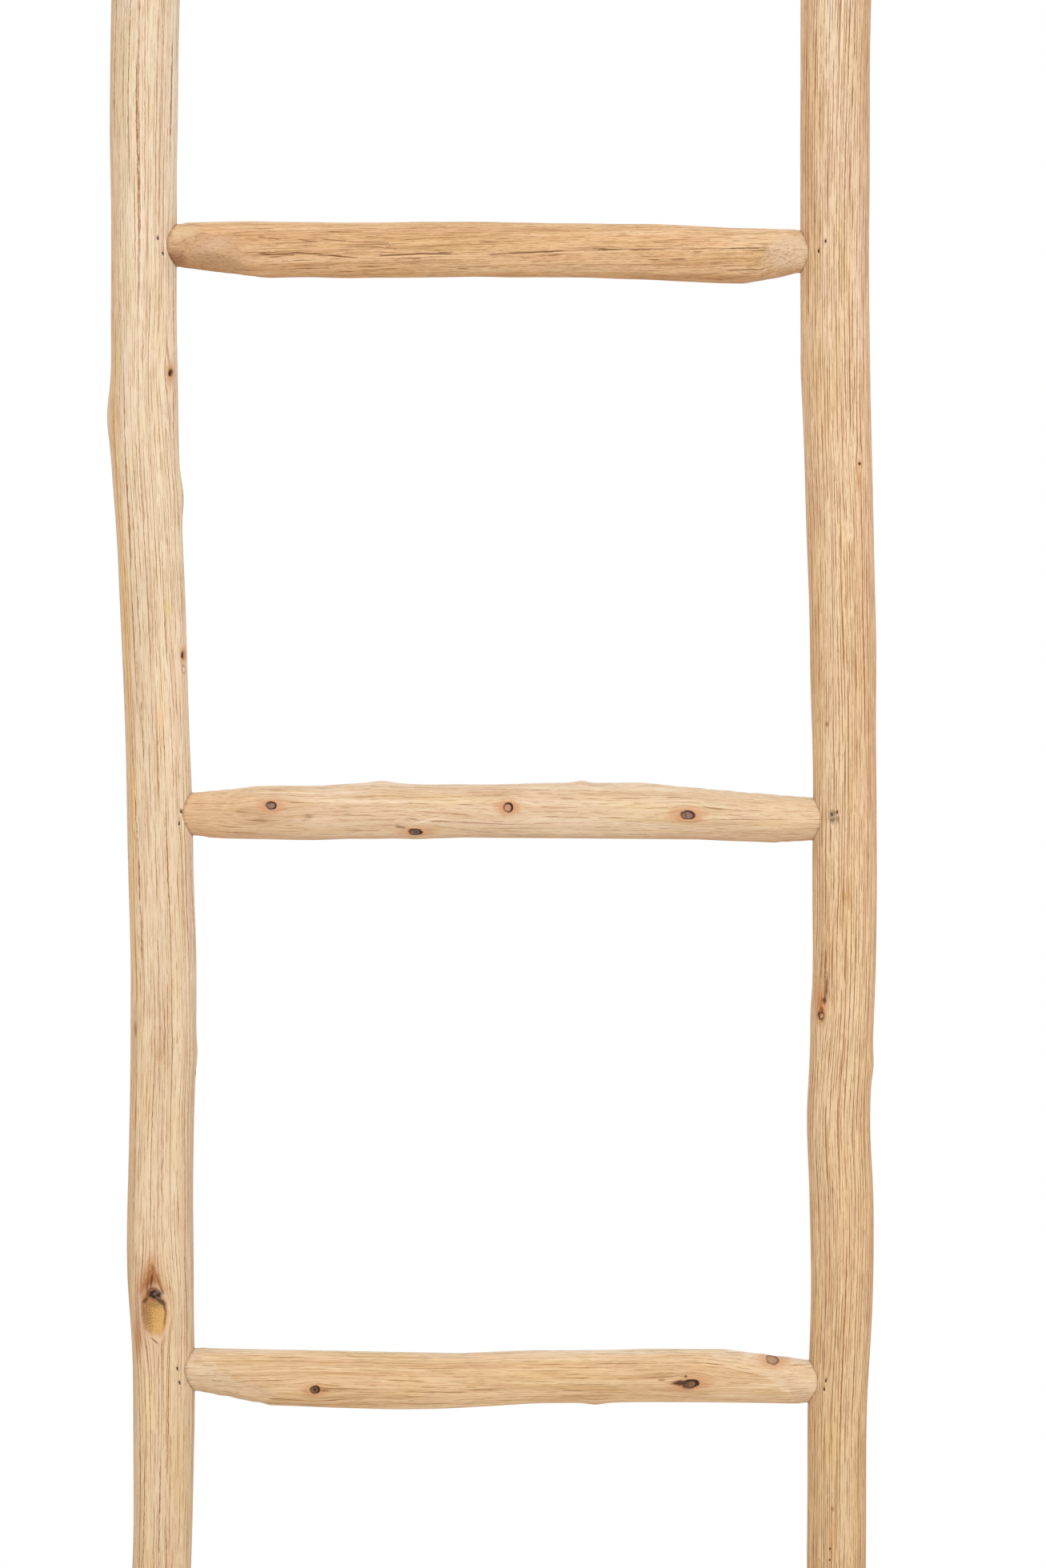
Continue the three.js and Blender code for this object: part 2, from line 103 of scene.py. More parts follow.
# White for the camera and for reflections, and plain soft light for everything else
def makeWorld():
    world = bpy.data.worlds.new("studio")
    world.use_nodes = True
    bpy.context.scene.world = world
    graph["tree"] = world.node_tree
    background = world.node_tree.nodes["Background"]
    background.inputs["Color"].default_value = (1, 1, 1, 1)
    path = newNode("LightPath").outputs
    seen = plus(plus(path["Is Camera Ray"], path["Is Glossy Ray"]), path["Is Transmission Ray"])
    wire(remap(seen, 0, 1, studio["world"], 1), background.inputs["Strength"])


def makeFloor():
    plain = studio["floor"]
    half = plain["size"] / 2
    corners = [(-half, -half, 0), (half, -half, 0), (half, half, 0), (-half, half, 0)]
    mesh = bpy.data.meshes.new("floor")
    mesh.from_pydata(corners, [], [(0, 1, 2, 3)])
    material, shader = newMaterial("pale floor")
    shader["Base Color"].default_value = plain["color"]
    shader["Roughness"].default_value = plain["roughness"]
    shader["Specular IOR Level"].default_value = plain["gloss"]
    mesh.materials.append(material)
    addObject("floor", mesh)


# The node tree that the functions below add to, a material's or the world's
graph = {}


def newMaterial(name):
    material = bpy.data.materials.new(name)
    material.use_nodes = True
    graph["tree"] = material.node_tree
    return material, material.node_tree.nodes["Principled BSDF"].inputs


def newNode(kind, **settings):
    node = graph["tree"].nodes.new("ShaderNode" + kind)
    for key, value in settings.items():
        setattr(node, key, value)
    return node


def wire(value, socket):
    if isinstance(value, bpy.types.NodeSocket):
        graph["tree"].links.new(value, socket)
    else:
        socket.default_value = value


def calc(kind, *values, clamp=False):
    node = newNode("Math", operation=kind, use_clamp=clamp)
    for value, socket in zip(values, node.inputs):
        wire(value, socket)
    return node.outputs[0]


def plus(first, second, clamp=False):
    return calc("ADD", first, second, clamp=clamp)


def times(first, *others, clamp=False):
    for other in others:
        first = calc("MULTIPLY", first, other, clamp=clamp)
    return first


# Two values' product and what is added to it
def scaled(value, factor, added, clamp=False):
    return calc("MULTIPLY_ADD", value, factor, added, clamp=clamp)


# How far a value is from another, either way
def gap(value, other):
    return calc("ABSOLUTE", calc("SUBTRACT", value, other))


def vector(kind, first, *second):
    node = newNode("VectorMath", operation=kind)
    for value, socket in zip((first, *second), node.inputs):
        wire(value, socket)
    return node.outputs["Value" if kind in ("LENGTH", "DOT_PRODUCT") else "Vector"]


# Carries a value from one range to another, evenly or, with soften, gently at both ends
def remap(value, fromLow, fromHigh, toLow=0.0, toHigh=1.0, kind="LINEAR"):
    node = newNode("MapRange", interpolation_type=kind)
    for number, socket in zip((value, fromLow, fromHigh, toLow, toHigh), node.inputs):
        wire(number, socket)
    return node.outputs[0]


def soften(value, *limits):
    return remap(value, *limits, kind="SMOOTHSTEP")


def blend(share, first, second, kind="MIX"):
    node = newNode("Mix", data_type="RGBA", blend_type=kind)
    for value, socket in ((share, 0), (first, 6), (second, 7)):    # the sockets that a blend of colours uses
        wire(value, node.inputs[socket])
    return node.outputs[2]


# A colour as a picture shows it, in Blender's linear light
def paint(red, green, blue):
    shares = [value / 255 for value in (red, green, blue)]
    return (*[s / 12.92 if s <= 0.04045 else ((s + 0.055) / 1.055) ** 2.4 for s in shares], 1)


def ramp(value, stops):
    node = newNode("ValToRGB")
    wire(value, node.inputs[0])
    elements = node.color_ramp.elements
    while len(elements) < len(stops):
        elements.new(0.5)
    for element, (position, color) in zip(elements, stops):
        element.position, element.color = position, color
    return node.outputs[0]


# Noise about zero, drawn out by how far it runs across and along the grain, in millimetres
def noise(place, across, along, detail=2.0, roughness=0.5):
    node = newNode("TexNoise")
    stretched = vector("MULTIPLY", place, (1 / across, 1 / across, 1 / along))
    for key, value in (("Vector", stretched), ("Scale", 1), ("Detail", detail), ("Roughness", roughness)):
        wire(value, node.inputs[key])
    return calc("SUBTRACT", node.outputs[0], 0.5)


def attribute(name, output="Vector"):
    return newNode("Attribute", attribute_name=name).outputs[output]


def parts(value):
    node = newNode("SeparateXYZ")
    wire(value, node.inputs[0])
    return node.outputs[0], node.outputs[1], node.outputs[2]


# How far a place lies from a mark's middle, with the run along the grain counted less
def reachOf(across, along, stretch=1.0):
    return calc("SQRT", scaled(across, across, times(along, along, stretch)))


# Noises in the wood: how far each runs across and along the grain, then its detail and roughness.
# How far the streaks run across is each finish's own.
weave = {
    "broad": (26, 260), "streak": (190, 3, 0.6), "fine": (0.9, 48, 3, 0.6), "fibre": (0.3, 9), "hue": (11, 70),
    "torn": (0.9, 8, 3, 0.65), "stray": (18, 420, 1), "waver": (1.6, 7, 2, 0.6), "growth": (9, 1),
    "pores": (0.5, 1), "wobble": (1.6, 3.2, 3, 0.6), "blotch": (0.9, 1.4, 3, 0.6), "jog": (2, 16, 3, 0.6),
    "breaks": (3, 22, 3, 0.6), "wander": (3.2, 3.2, 3, 0.55), "speckle": (0.75, 0.75, 3, 0.65),
    "fleck": (0.75, 3.4, 3, 0.65),
}

# Where the marks' edges begin and end, and the values there if they aren't 0 and 1
edge = {
    "growth": (-0.4, 1), "pores": (0.02, 0.2, 0, 0.5), "halo": (2.7, 0.7), "core": (1.1, 0.85),
    "heart": (0.9, 0.2), "darkBlotch": (-0.02, -0.2, 0, 0.7), "paleBlotch": (0.05, 0.2, 0, 0.4),
    "rim": (0.32, 0.14), "breaks": (-0.12, 0.06, 0.1, 1), "crack": (1, 0.35), "bruise": (1.15, 0.6, 0, 0.6),
    "burr": (1.1, 0.4, 0, 0.35), "fleck": (0.02, 0.12), "rust": (0.02, 0.16, 0, 0.7),
}

# How far the noises carry the tones, how ragged they make the marks, and how strongly parts of the wood show
look = {
    "hue": 2.4, "torn": 1.5, "hewn": 0.55, "strandsCut": -0.25, "ringSway": 3, "ringPitch": 1.9,
    "knotRagged": 0.9, "haloRagged": 1.2, "haloStretch": 0.45, "rimAt": 0.9, "rimLean": 0.6, "rimFade": 0.28,
    "rimLeast": 0.85, "crackJog": 1.6, "softJog": 2, "bruiseRagged": 1.4, "burrRagged": 1.2,
    "coreSheen": -0.15, "fineSheen": 0.35, "gloss": 0.28,
}

# The dark of a brad hole, crushed wood and painted shade, and the bruise and burr round it, in millimetres from
# the hole
# The same dark is laid as painted shade down the sockets
pitShadeAndBradMarks = {"color": (74, 52, 34), "share": 0.8, "bruiseUp": 0.8, "bruiseTall": 2.3, "burrDown": 2.5,
            "burrWide": 1.1}

# Tones at the dark, middle and pale ends of a noise, and how deep each relief sinks
toneStops = {"grain": (0.12, 0.5, 0.88), "hue": (0.15, 0.5, 0.85), "hewn": (0.1, 0.5, 0.9)}
hues = ((1, 0.955, 0.945, 1), (1, 1, 1, 1), (1, 0.985, 0.86, 1))
relief = {"fine": 0.7, "fibre": 0.5, "torn": 0.7, "strand": 0.55, "crack": 0.9, "rim": 0.6, "patch": 1,
          "burr": -0.9, "strength": 0.7, "depth": 0.35}


# Thin dark strands that run with the grain, so many round the stick. They stray and break off on their own.
def strands(grain, turn, stray, waver, lines):
    count, strayBy, waverBy, width, across, length, rare, strength, _ = lines
    place = scaled(waver, waverBy, scaled(turn, count, times(stray, strayBy)))
    strand = soften(gap(calc("FRACT", place), 0.5), width, width * 0.3)
    return times(strand, soften(noise(grain, across, length, 1), rare, rare + 0.1, 0, strength))


# Bare peeled wood. Its grain, knots, cracks, stains and painted light and shade are laid out on the mesh, in
# millimetres.
def makeWood(finish, patches):
    material, shader = newMaterial(finish["name"])
    grain, face = attribute("grain"), attribute("face")
    hewn = parts(face)[2]
    tints = {key: paint(*value) for key, value in finish.items() if isinstance(value, tuple)}

    def grainNoise(key):
        return noise(grain, *weave[key])

    def tones(value, key, first, second, third):
        return ramp(value, list(zip(toneStops[key], (first, second, third))))

    # Tone: broad bands, streaks, fine streaks and fibres
    fine, fibre = grainNoise("fine"), grainNoise("fibre")
    tone = scaled(grainNoise("broad"), finish["broad"], 0.5)
    tone = scaled(noise(grain, finish["streakWidth"], *weave["streak"]), finish["streak"], tone)
    tone = scaled(fibre, finish["fibre"], scaled(fine, finish["fine"], tone))
    color = tones(tone, "grain", tints["dark"], tints["mid"], tints["pale"])

    # Hue: pinkish in places and yellowish in others
    hue = tones(scaled(grainNoise("hue"), look["hue"], 0.5), "hue", *hues)
    color = blend(finish["hue"], color, hue, "MULTIPLY")

    # Hewn faces: cut across the growth rings, paler and torn
    torn = grainNoise("torn")
    cut = tones(scaled(torn, look["torn"], 0.5), "hewn", tints["hewnDark"], tints["hewnMid"], tints["hewnPale"])
    color = blend(times(hewn, look["hewn"]), color, cut)

    # Strands: long ones and short fine ones, evenly round the stick but for their stray
    grainX, grainY, _ = parts(grain)
    turn = calc("DIVIDE", calc("ARCTAN2", grainY, grainX), 2 * math.pi)
    stray, waver = grainNoise("stray"), grainNoise("waver")
    uncut = scaled(hewn, look["strandsCut"], 1)
    groove = 0.0
    for lines in finish["strands"]:
        strand = times(strands(grain, turn, stray, waver, lines), uncut)
        color = blend(strand, color, paint(*lines[-1]))
        groove = calc("MAXIMUM", strand, groove)

    # Sawn ends: growth rings about the pith, with the pores as dots
    flat = vector("MULTIPLY", grain, (1, 1, 0))
    ring = scaled(noise(flat, *weave["growth"]), look["ringSway"], vector("LENGTH", flat))
    ring = calc("SINE", times(ring, 2 * math.pi / look["ringPitch"]))
    ends = blend(soften(ring, *edge["growth"]), tints["hewnPale"], tints["hewnDark"])
    ends = blend(remap(noise(flat, *weave["pores"]), *edge["pores"]), ends, tints["core"])
    color = blend(attribute("sawn", "Fac"), color, ends)

    # Knots: a heart, a brown core, a dark ring, and a halo that fades along the grain
    across, along, near = parts(attribute("knot"))
    heartTone, ringTone, haloTone = parts(attribute("knotTone"))
    wobble = grainNoise("wobble")
    reach = scaled(wobble, look["knotRagged"], reachOf(across, along))
    faded = scaled(wobble, look["haloRagged"], reachOf(across, along, look["haloStretch"]))
    color = blend(times(soften(faded, *edge["halo"]), haloTone, near), color, tints["halo"])
    core = times(soften(reach, *edge["core"]), near, plus(heartTone, 1, clamp=True))
    inside = blend(times(heartTone, soften(reach, *edge["heart"]), clamp=True), tints["core"], tints["heart"])
    blotch = grainNoise("blotch")
    for key, tint in (("darkBlotch", "heart"), ("paleBlotch", "halo")):
        inside = blend(soften(blotch, *edge[key]), inside, tints[tint])
    color = blend(core, color, inside)
    oneSided = plus(along, times(across, look["rimLean"]))
    oneSided = scaled(oneSided, look["rimFade"], look["rimLeast"], clamp=True)
    rim = times(soften(gap(reach, look["rimAt"]), *edge["rim"]), ringTone, near, oneSided)
    color = blend(rim, color, tints["heart"])

    # Drying cracks and dark streaks, drawn by how far off they lie
    off, _, shown = parts(attribute("crack"))
    width, dark, soft = parts(attribute("crackTone"))
    jog = times(grainNoise("jog"), scaled(soft, look["softJog"], look["crackJog"]))
    off = calc("ABSOLUTE", plus(off, jog))
    crack = soften(calc("DIVIDE", off, width), *edge["crack"])
    crack = times(crack, shown, soften(grainNoise("breaks"), *edge["breaks"]), dark)
    color = blend(crack, color, tints["crackColor"])

    # Composite knots and bruises, then the stains and painted light and shade laid on the mesh
    color, dip = layPatches(color, face, grain, patches)
    color = blend(1.0, color, attribute("tint", "Color"), "MULTIPLY")
    # Painted shade down the sockets and in the brad holes, whose wood is also crushed dark
    color = blend(times(attribute("pit", "Fac"), pitShadeAndBradMarks["share"]), color, paint(*pitShadeAndBradMarks["color"]))

    # Round each brad hole: bruised above, and below a raised burr with a painted highlight on it
    aside, above, beside = parts(attribute("brad"))
    upper = calc("DIVIDE", calc("SUBTRACT", above, pitShadeAndBradMarks["bruiseUp"]), pitShadeAndBradMarks["bruiseTall"])
    bruise = scaled(wobble, look["bruiseRagged"], reachOf(aside, upper))
    bruise = times(soften(bruise, *edge["bruise"]), beside)
    color = blend(bruise, color, tints["core"])
    # The burr's pale tone is a painted highlight where the raised burr would catch the light
    burr = reachOf(calc("DIVIDE", aside, pitShadeAndBradMarks["burrWide"]), plus(above, pitShadeAndBradMarks["burrDown"]))
    burr = times(soften(scaled(wobble, look["burrRagged"], burr), *edge["burr"]), beside)
    wire(blend(burr, color, tints["pale"]), shader["Base Color"])

    # Sheen and relief
    rough = scaled(fine, look["fineSheen"], finish["roughness"])
    wire(scaled(core, look["coreSheen"], rough, clamp=True), shader["Roughness"])
    shader["Specular IOR Level"].default_value = look["gloss"]
    height = scaled(fine, relief["fine"], times(fibre, relief["fibre"]))
    height = scaled(times(torn, hewn), relief["torn"], height)
    for dent, key in ((groove, "strand"), (crack, "crack"), (rim, "rim"), (dip, "patch"), (burr, "burr")):
        height = scaled(dent, -relief[key], height)
    bump = newNode("Bump")
    wire(relief["strength"], bump.inputs["Strength"])
    wire(relief["depth"] * mm, bump.inputs["Distance"])
    wire(height, bump.inputs["Height"])
    wire(bump.outputs[0], shader["Normal"])
    return material


# Soft-edged ellipses of colour over a composite knot, in order; each wanders at its edge and may be speckled
def layPatches(color, face, grain, patches):
    dip = 0.0
    if not patches:
        return color, dip
    wander, speckle = noise(face, *weave["wander"]), noise(face, *weave["speckle"])
    fleck = noise(grain, *weave["fleck"])
    for patch in patches:
        lean = math.radians(patch.get("lean", 0))
        cos, sin, wide, tall = math.cos(lean), math.sin(lean), patch["wide"], patch["tall"]
        place = vector("SUBTRACT", face, (patch["arc"], patch["along"], 0))
        sideways = vector("DOT_PRODUCT", place, (cos / wide, sin / wide, 0))
        upwards = vector("DOT_PRODUCT", place, (-sin / tall, cos / tall, 0))
        if "pointed" in patch:
            sideways = times(sideways, scaled(calc("ABSOLUTE", upwards), patch["pointed"], 1))
        reach = scaled(wander, patch.get("wander", 0.6), reachOf(sideways, upwards))
        if "ring" in patch:
            reach = calc("DIVIDE", gap(reach, 1), patch["ring"])
        mask = soften(reach, 1 + patch["soft"], 1 - patch["soft"])
        if "speckled" in patch:
            grit = math.copysign(0.1, patch["speckled"])
            mask = times(mask, remap(speckle, -grit, grit, 1 - abs(patch["speckled"]), 1))
        if "flecked" in patch:
            mask = times(mask, remap(fleck, *edge["fleck"]))
        mask = times(mask, patch["strength"])
        color = blend(mask, color, paint(*patch["color"]))
        if "dip" in patch:
            dip = scaled(mask, patch["dip"], dip)
    return color, dip


# A function that follows rows of (share, values...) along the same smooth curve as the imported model
def curveThrough(rows):
    stops = np.array([row[0] for row in rows], float)
    values = np.array([row[1:] for row in rows], float)
    last = len(rows) - 1

    def follow(share):
        share = np.clip(share, 0, 1)
        after = np.clip(np.searchsorted(stops, share, side="right"), 1, last)
        before = after - 1
        previous = np.where(before > 0, before - 1, after)
        following = np.where(after < last, after + 1, before)
        half = (stops[after] - stops[before]) / 2
        pullBack = half / (stops[before] - stops[previous])
        pullOn = half / (stops[following] - stops[after])
        p = (share - stops[before]) / (2 * half)
        weights = (
            (previous, -pullBack * p**3 + 2 * pullBack * p**2 - pullBack * p),
            (before, (1 + pullBack) * p**3 + (-1.5 - 2 * pullBack) * p**2 + (-0.5 + pullBack) * p + 1),
            (after, (-1 - pullOn) * p**3 + (1.5 + pullOn) * p**2 + 0.5 * p),
            (following, pullOn * p**3 - pullOn * p**2),
        )
        total = sum(values[row] * weight[..., None] for row, weight in weights)
        return np.moveaxis(total, -1, 0)

    return follow


def wrapped(angle):
    return np.arctan2(np.sin(angle), np.cos(angle))


def eased(value):
    value = np.clip(value, 0, 1)
    return value * value * (3 - 2 * value)


# Waves that never repeat, about one unit high: lobes round the stick and a pitch along it
def unevenness(seed, along, bearing, lobes, pitch, count=9):
    lots = np.random.default_rng(seed)
    total = 0
    for _ in range(count):
        around = int(lots.integers(0, lobes + 1))
        wave = 2 * math.pi / (pitch * lots.uniform(0.6, 1.9)) * lots.choice((-1, 1))
        total = total + np.cos(around * bearing + wave * along + lots.uniform(0, 2 * math.pi))
    return total / math.sqrt(count)


# Swellings over healed side shoots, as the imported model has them
swelling = {"rise": 2.6, "reach": 20, "spread": 0.55}

# Relief of a knot: a raised ring round a hollow, as shares of the knot's own size, and its rise in millimetres
knotRelief = {"rise": 0.25, "ringAt": 1.25, "ringWidth": 0.55, "hollow": 0.35, "hollowReach": 0.85}
crackRelief = {"depth": 0.15, "halfWidth": 0.9, "fade": 6, "past": 8}

# How far from knots, cracks and brads the wood shows them, and over what distance they fade towards a neighbour
nearBy = {"knots": (4.2, 0.7), "cracks": (5.5, 0.8), "brads": (2.8, 0.9)}
far = 99    # further off than any mark reaches

# How the grain flows round a knot, and how it rises and sinks in the stick, in millimetres
flowRound = {"reach": 1.3, "stretch": 2.2, "fade": 6}
grainDepth = {"height": 0.5, "lobes": 4, "pitch": 150, "shift": 400}
sharpAngle = 48    # in degrees, over which an edge of the wood stays sharp


# How far a stick's face swells over its shoots and how uneven it is
def swollen(stick, shape, along, bearing):
    rise = 0
    for share, knotBearing, height, reach, *_ in stick["knots"]:
        away = (along - share * stick["length"]) / (reach * swelling["reach"])
        turn = wrapped(bearing - math.radians(knotBearing)) / swelling["spread"]
        rise = rise + height * swelling["rise"] * np.exp(-away**2 - turn**2)
    for number, (height, lobes, pitch) in enumerate(shape["uneven"]):
        rise = rise + height * unevenness(stick["seed"] + number, along, bearing, lobes, pitch)
    return rise


# A mark seen in the photograph: its pixel, then half its width and height in pixels
def seen(pixelX, pixelY, wide, tall, **looks):
    return {"at": (pixelX, pixelY), "size": (wide, tall), **looks}


# A patch of colour seen in the photograph, with how soft its edge is and how strongly it covers the wood
def spot(pixelX, pixelY, wide, tall, color, soft=0.25, strength=1, **looks):
    return seen(pixelX, pixelY, wide, tall, color=color, soft=soft, strength=strength, **looks)


# A mark placed by its share of the stick's length and its bearing in degrees, with its size in the same way
def unseen(share, bearing, wide, tall, **looks):
    return {"place": (share, bearing), "size": (wide, tall), **looks}


# Gives marks their own places on a stick: how far along it, at what bearing, and how wide and tall they are
def settle(stick, marks):
    settled = []
    for mark in marks:
        if "at" in mark:
            along, bearing = stick["placeOf"](*mark["at"])
        else:
            along, bearing = mark["place"][0] * stick["length"], math.radians(mark["place"][1])
        wide, tall = [value * photo["scale"] for value in mark["size"]]
        if stick["lying"]:
            wide, tall = tall, wide
        if "at" in mark:
            wide /= max(photo["steepest"], math.cos(bearing - stick["front"]))
        settled.append({**mark, "along": float(along), "bearing": float(bearing),
                        "arc": float(arcAt(stick, bearing)), "wide": wide, "tall": tall})
    return settled


# Where a bearing lies round a stick, in millimetres from its front or from a mark
def arcAt(stick, bearing, start=None):
    return stick["arcSign"] * stick["radius"] * wrapped(bearing - (stick["front"] if start is None else start))


# How far a place lies from a settled mark, across and along it, in millimetres
def awayFrom(stick, mark, along, bearing):
    across, upwards = arcAt(stick, bearing, mark["bearing"]), along - mark["along"]
    lean = math.radians(mark.get("lean", 0))
    cos, sin = math.cos(lean), math.sin(lean)
    return across * cos + upwards * sin, upwards * cos - across * sin


# The same as a share of the mark's own size
def shareAway(stick, mark, along, bearing):
    across, upwards = awayFrom(stick, mark, along, bearing)
    return np.hypot(across / mark["wide"], upwards / mark["tall"])


# The relief that knots, lumps and cracks add to a stick's face
def markRelief(stick, along, bearing):
    rise = 0
    for knot in stick["knotsSeen"]:
        away = shareAway(stick, knot, along, bearing)
        ring = (away - knotRelief["ringAt"]) / knotRelief["ringWidth"]
        rise = rise + knot.get("rise", knotRelief["rise"]) * np.exp(-(ring**2))
        hollow = knot.get("hollow", knotRelief["hollow"])
        rise = rise - hollow * np.exp(-((away / knotRelief["hollowReach"]) ** 4))
    for lump in stick["lumps"]:
        rise = rise + lump["rise"] * np.exp(-(shareAway(stick, lump, along, bearing) ** lump.get("edge", 2)))
    for line in stick["cracks"]:
        offset, shown = offLine(stick, line, along, bearing)
        depth = line.get("depth", crackRelief["depth"])
        rise = rise - depth * shown * np.exp(-((offset / crackRelief["halfWidth"]) ** 2))
    return rise


# How far a place lies off a crack, and how much the crack shows there
def offLine(stick, line, along, bearing):
    places = sorted(stick["placeOf"](*pixel) for pixel in line["through"])
    stops, turns = [place[0] for place in places], np.unwrap([place[1] for place in places])
    offset = stick["radius"] * wrapped(bearing - np.interp(along, stops, turns))
    fade = line.get("fade", crackRelief["fade"])
    shown = np.clip((along - stops[0]) / fade + 0.5, 0, 1) * np.clip((stops[-1] - along) / fade + 0.5, 0, 1)
    return offset, shown * np.ones_like(offset)


# Keeps, at each place, the values of the mark nearest to it, and how far the next one lies behind
class Nearest:
    def __init__(self, shape, count):
        self.closest, self.second = np.full(shape, float(far)), np.full(shape, float(far))
        self.values = [np.zeros(shape + (3,)) for _ in range(count)]

    def add(self, distance, *values):
        nearer = distance < self.closest
        self.second = np.where(nearer, self.closest, np.minimum(self.second, distance))
        self.closest = np.where(nearer, distance, self.closest)
        for kept, value in zip(self.values, values):
            kept[nearer] = np.broadcast_to(value, kept.shape)[nearer]

    def shown(self, reach, fade):
        share = np.clip((reach - self.closest) / fade, 0, 1)
        self.values[0][..., 2] *= share * np.clip((self.second - self.closest) / fade, 0, 1)
        return self.values


# The grain's flow round the knots, the marks' own coordinates, and the tint of the stains and painted light and
# shade
def markAttributes(stick, along, bearing, depth):
    shape = along.shape
    ones = np.ones(shape)
    turn = np.zeros(shape)
    knots, cracks, brads = Nearest(shape, 2), Nearest(shape, 2), Nearest(shape, 1)
    for mark in stick["knotsSeen"]:
        across, upwards = awayFrom(stick, mark, along, bearing)
        sideways, lengthways = across / mark["wide"], upwards / mark["tall"]
        tone = (mark.get("heart", 1), mark.get("ring", 0.6), mark.get("halo", 0.6))
        knots.add(np.hypot(sideways, lengthways), np.stack([sideways, lengthways, ones], -1), tone)
        flow = mark.get("flow", flowRound["reach"]) * mark["wide"]
        spread = across**2 + (upwards / flowRound["stretch"]) ** 2
        shift = -across * flow**2 / (spread + flow**2) * np.exp(-spread / (flowRound["fade"] * flow) ** 2)
        turn = turn + stick["arcSign"] * shift / stick["radius"]
    for line in stick["cracks"]:
        offset, shown = offLine(stick, line, along, bearing)
        tone = (line["width"] * photo["scale"] / 2, line["dark"], line.get("soft", 0))
        distance = np.abs(offset) + (1 - shown) * crackRelief["past"]
        cracks.add(distance, np.stack([offset, shown, shown], -1), tone)
    for height, bradBearing in stick["bradPlaces"]:
        across, upwards = stick["radius"] * wrapped(bearing - bradBearing), along - height
        brads.add(np.hypot(across, upwards), np.stack([across, upwards, ones], -1))
    stops, tones = zip(*stick["tones"])
    tones = np.array(tones) ** screenGamma
    tint = np.stack([np.interp(along / stick["length"], stops, tones[:, channel]) for channel in range(3)], -1)
    # The tones along the stick, then its stains, and the painted light and shade laid as bands along its sides
    for tintSpot in stick["stains"]:
        across, upwards = awayFrom(stick, tintSpot, along, bearing)
        share = np.exp(-((across / tintSpot["wide"]) ** 2) - (upwards / tintSpot["tall"]) ** 2)
        tint *= 1 + share[..., None] * (np.array(tintSpot["tint"]) ** screenGamma - 1)
    waves = unevenness(stick["seed"] + 5, along, bearing, grainDepth["lobes"], grainDepth["pitch"])
    radius = stick["radius"] - depth + grainDepth["height"] * waves
    around = bearing + turn + stick["twist"] * along
    lie = along + grainDepth["shift"] * stick["seed"]    # so that no two sticks have the same grain
    knot, knotTone = knots.shown(*nearBy["knots"])
    crack, crackTone = cracks.shown(*nearBy["cracks"])
    crackTone[..., 0] = np.maximum(crackTone[..., 0], 0.1)
    return {
        "grain": np.stack([radius * np.cos(around), radius * np.sin(around), lie], -1),
        "knot": knot,
        "knotTone": knotTone,
        "crack": crack,
        "crackTone": crackTone,
        "brad": brads.shown(*nearBy["brads"])[0],
        "tint": tint,
    }


# A closed skin of quads over rows of points, each end closed by a fan, with a map of its own in strips
def makeSkin(name, points, attributes, strips):
    rows, columns, _ = points.shape
    ends = [points[0].mean(0), points[-1].mean(0)]
    vertices = np.concatenate([points.reshape(-1, 3), ends]) * mm
    row, column = np.meshgrid(np.arange(rows - 1), np.arange(columns), indexing="ij")
    first, second = row * columns + column, row * columns + (column + 1) % columns
    quads = np.stack([first, second, second + columns, first + columns], -1).reshape(-1, 4)
    side, beside = np.arange(columns), (np.arange(columns) + 1) % columns
    middle, top = np.full(columns, rows * columns), (rows - 1) * columns
    fans = [np.stack([middle, beside, side], -1), np.stack([middle + 1, top + side, top + beside], -1)]
    mesh = bpy.data.meshes.new(name)
    mesh.from_pydata(vertices.tolist(), [], quads.tolist() + np.concatenate(fans).tolist())
    mesh.polygons.foreach_set("use_smooth", np.ones(len(mesh.polygons), bool))
    kinds = {1: ("FLOAT", "value"), 3: ("FLOAT_VECTOR", "vector"), 4: ("FLOAT_COLOR", "color")}
    for key, values in attributes.items():
        closing = np.stack([values[0].mean(0), values[-1].mean(0)]).reshape(2, -1)
        values = np.concatenate([values.reshape(rows * columns, -1), closing]).astype(np.float32)
        if key == "tint":
            values = np.hstack([values, np.ones((len(values), 1), np.float32)])
        kind, field = kinds[values.shape[1]]
        mesh.attributes.new(key, kind, "POINT").data.foreach_set(field, values.ravel())
    layMap(mesh, points, strips)
    mesh.set_sharp_from_angle(angle=math.radians(sharpAngle))
    return addObject(name, mesh)


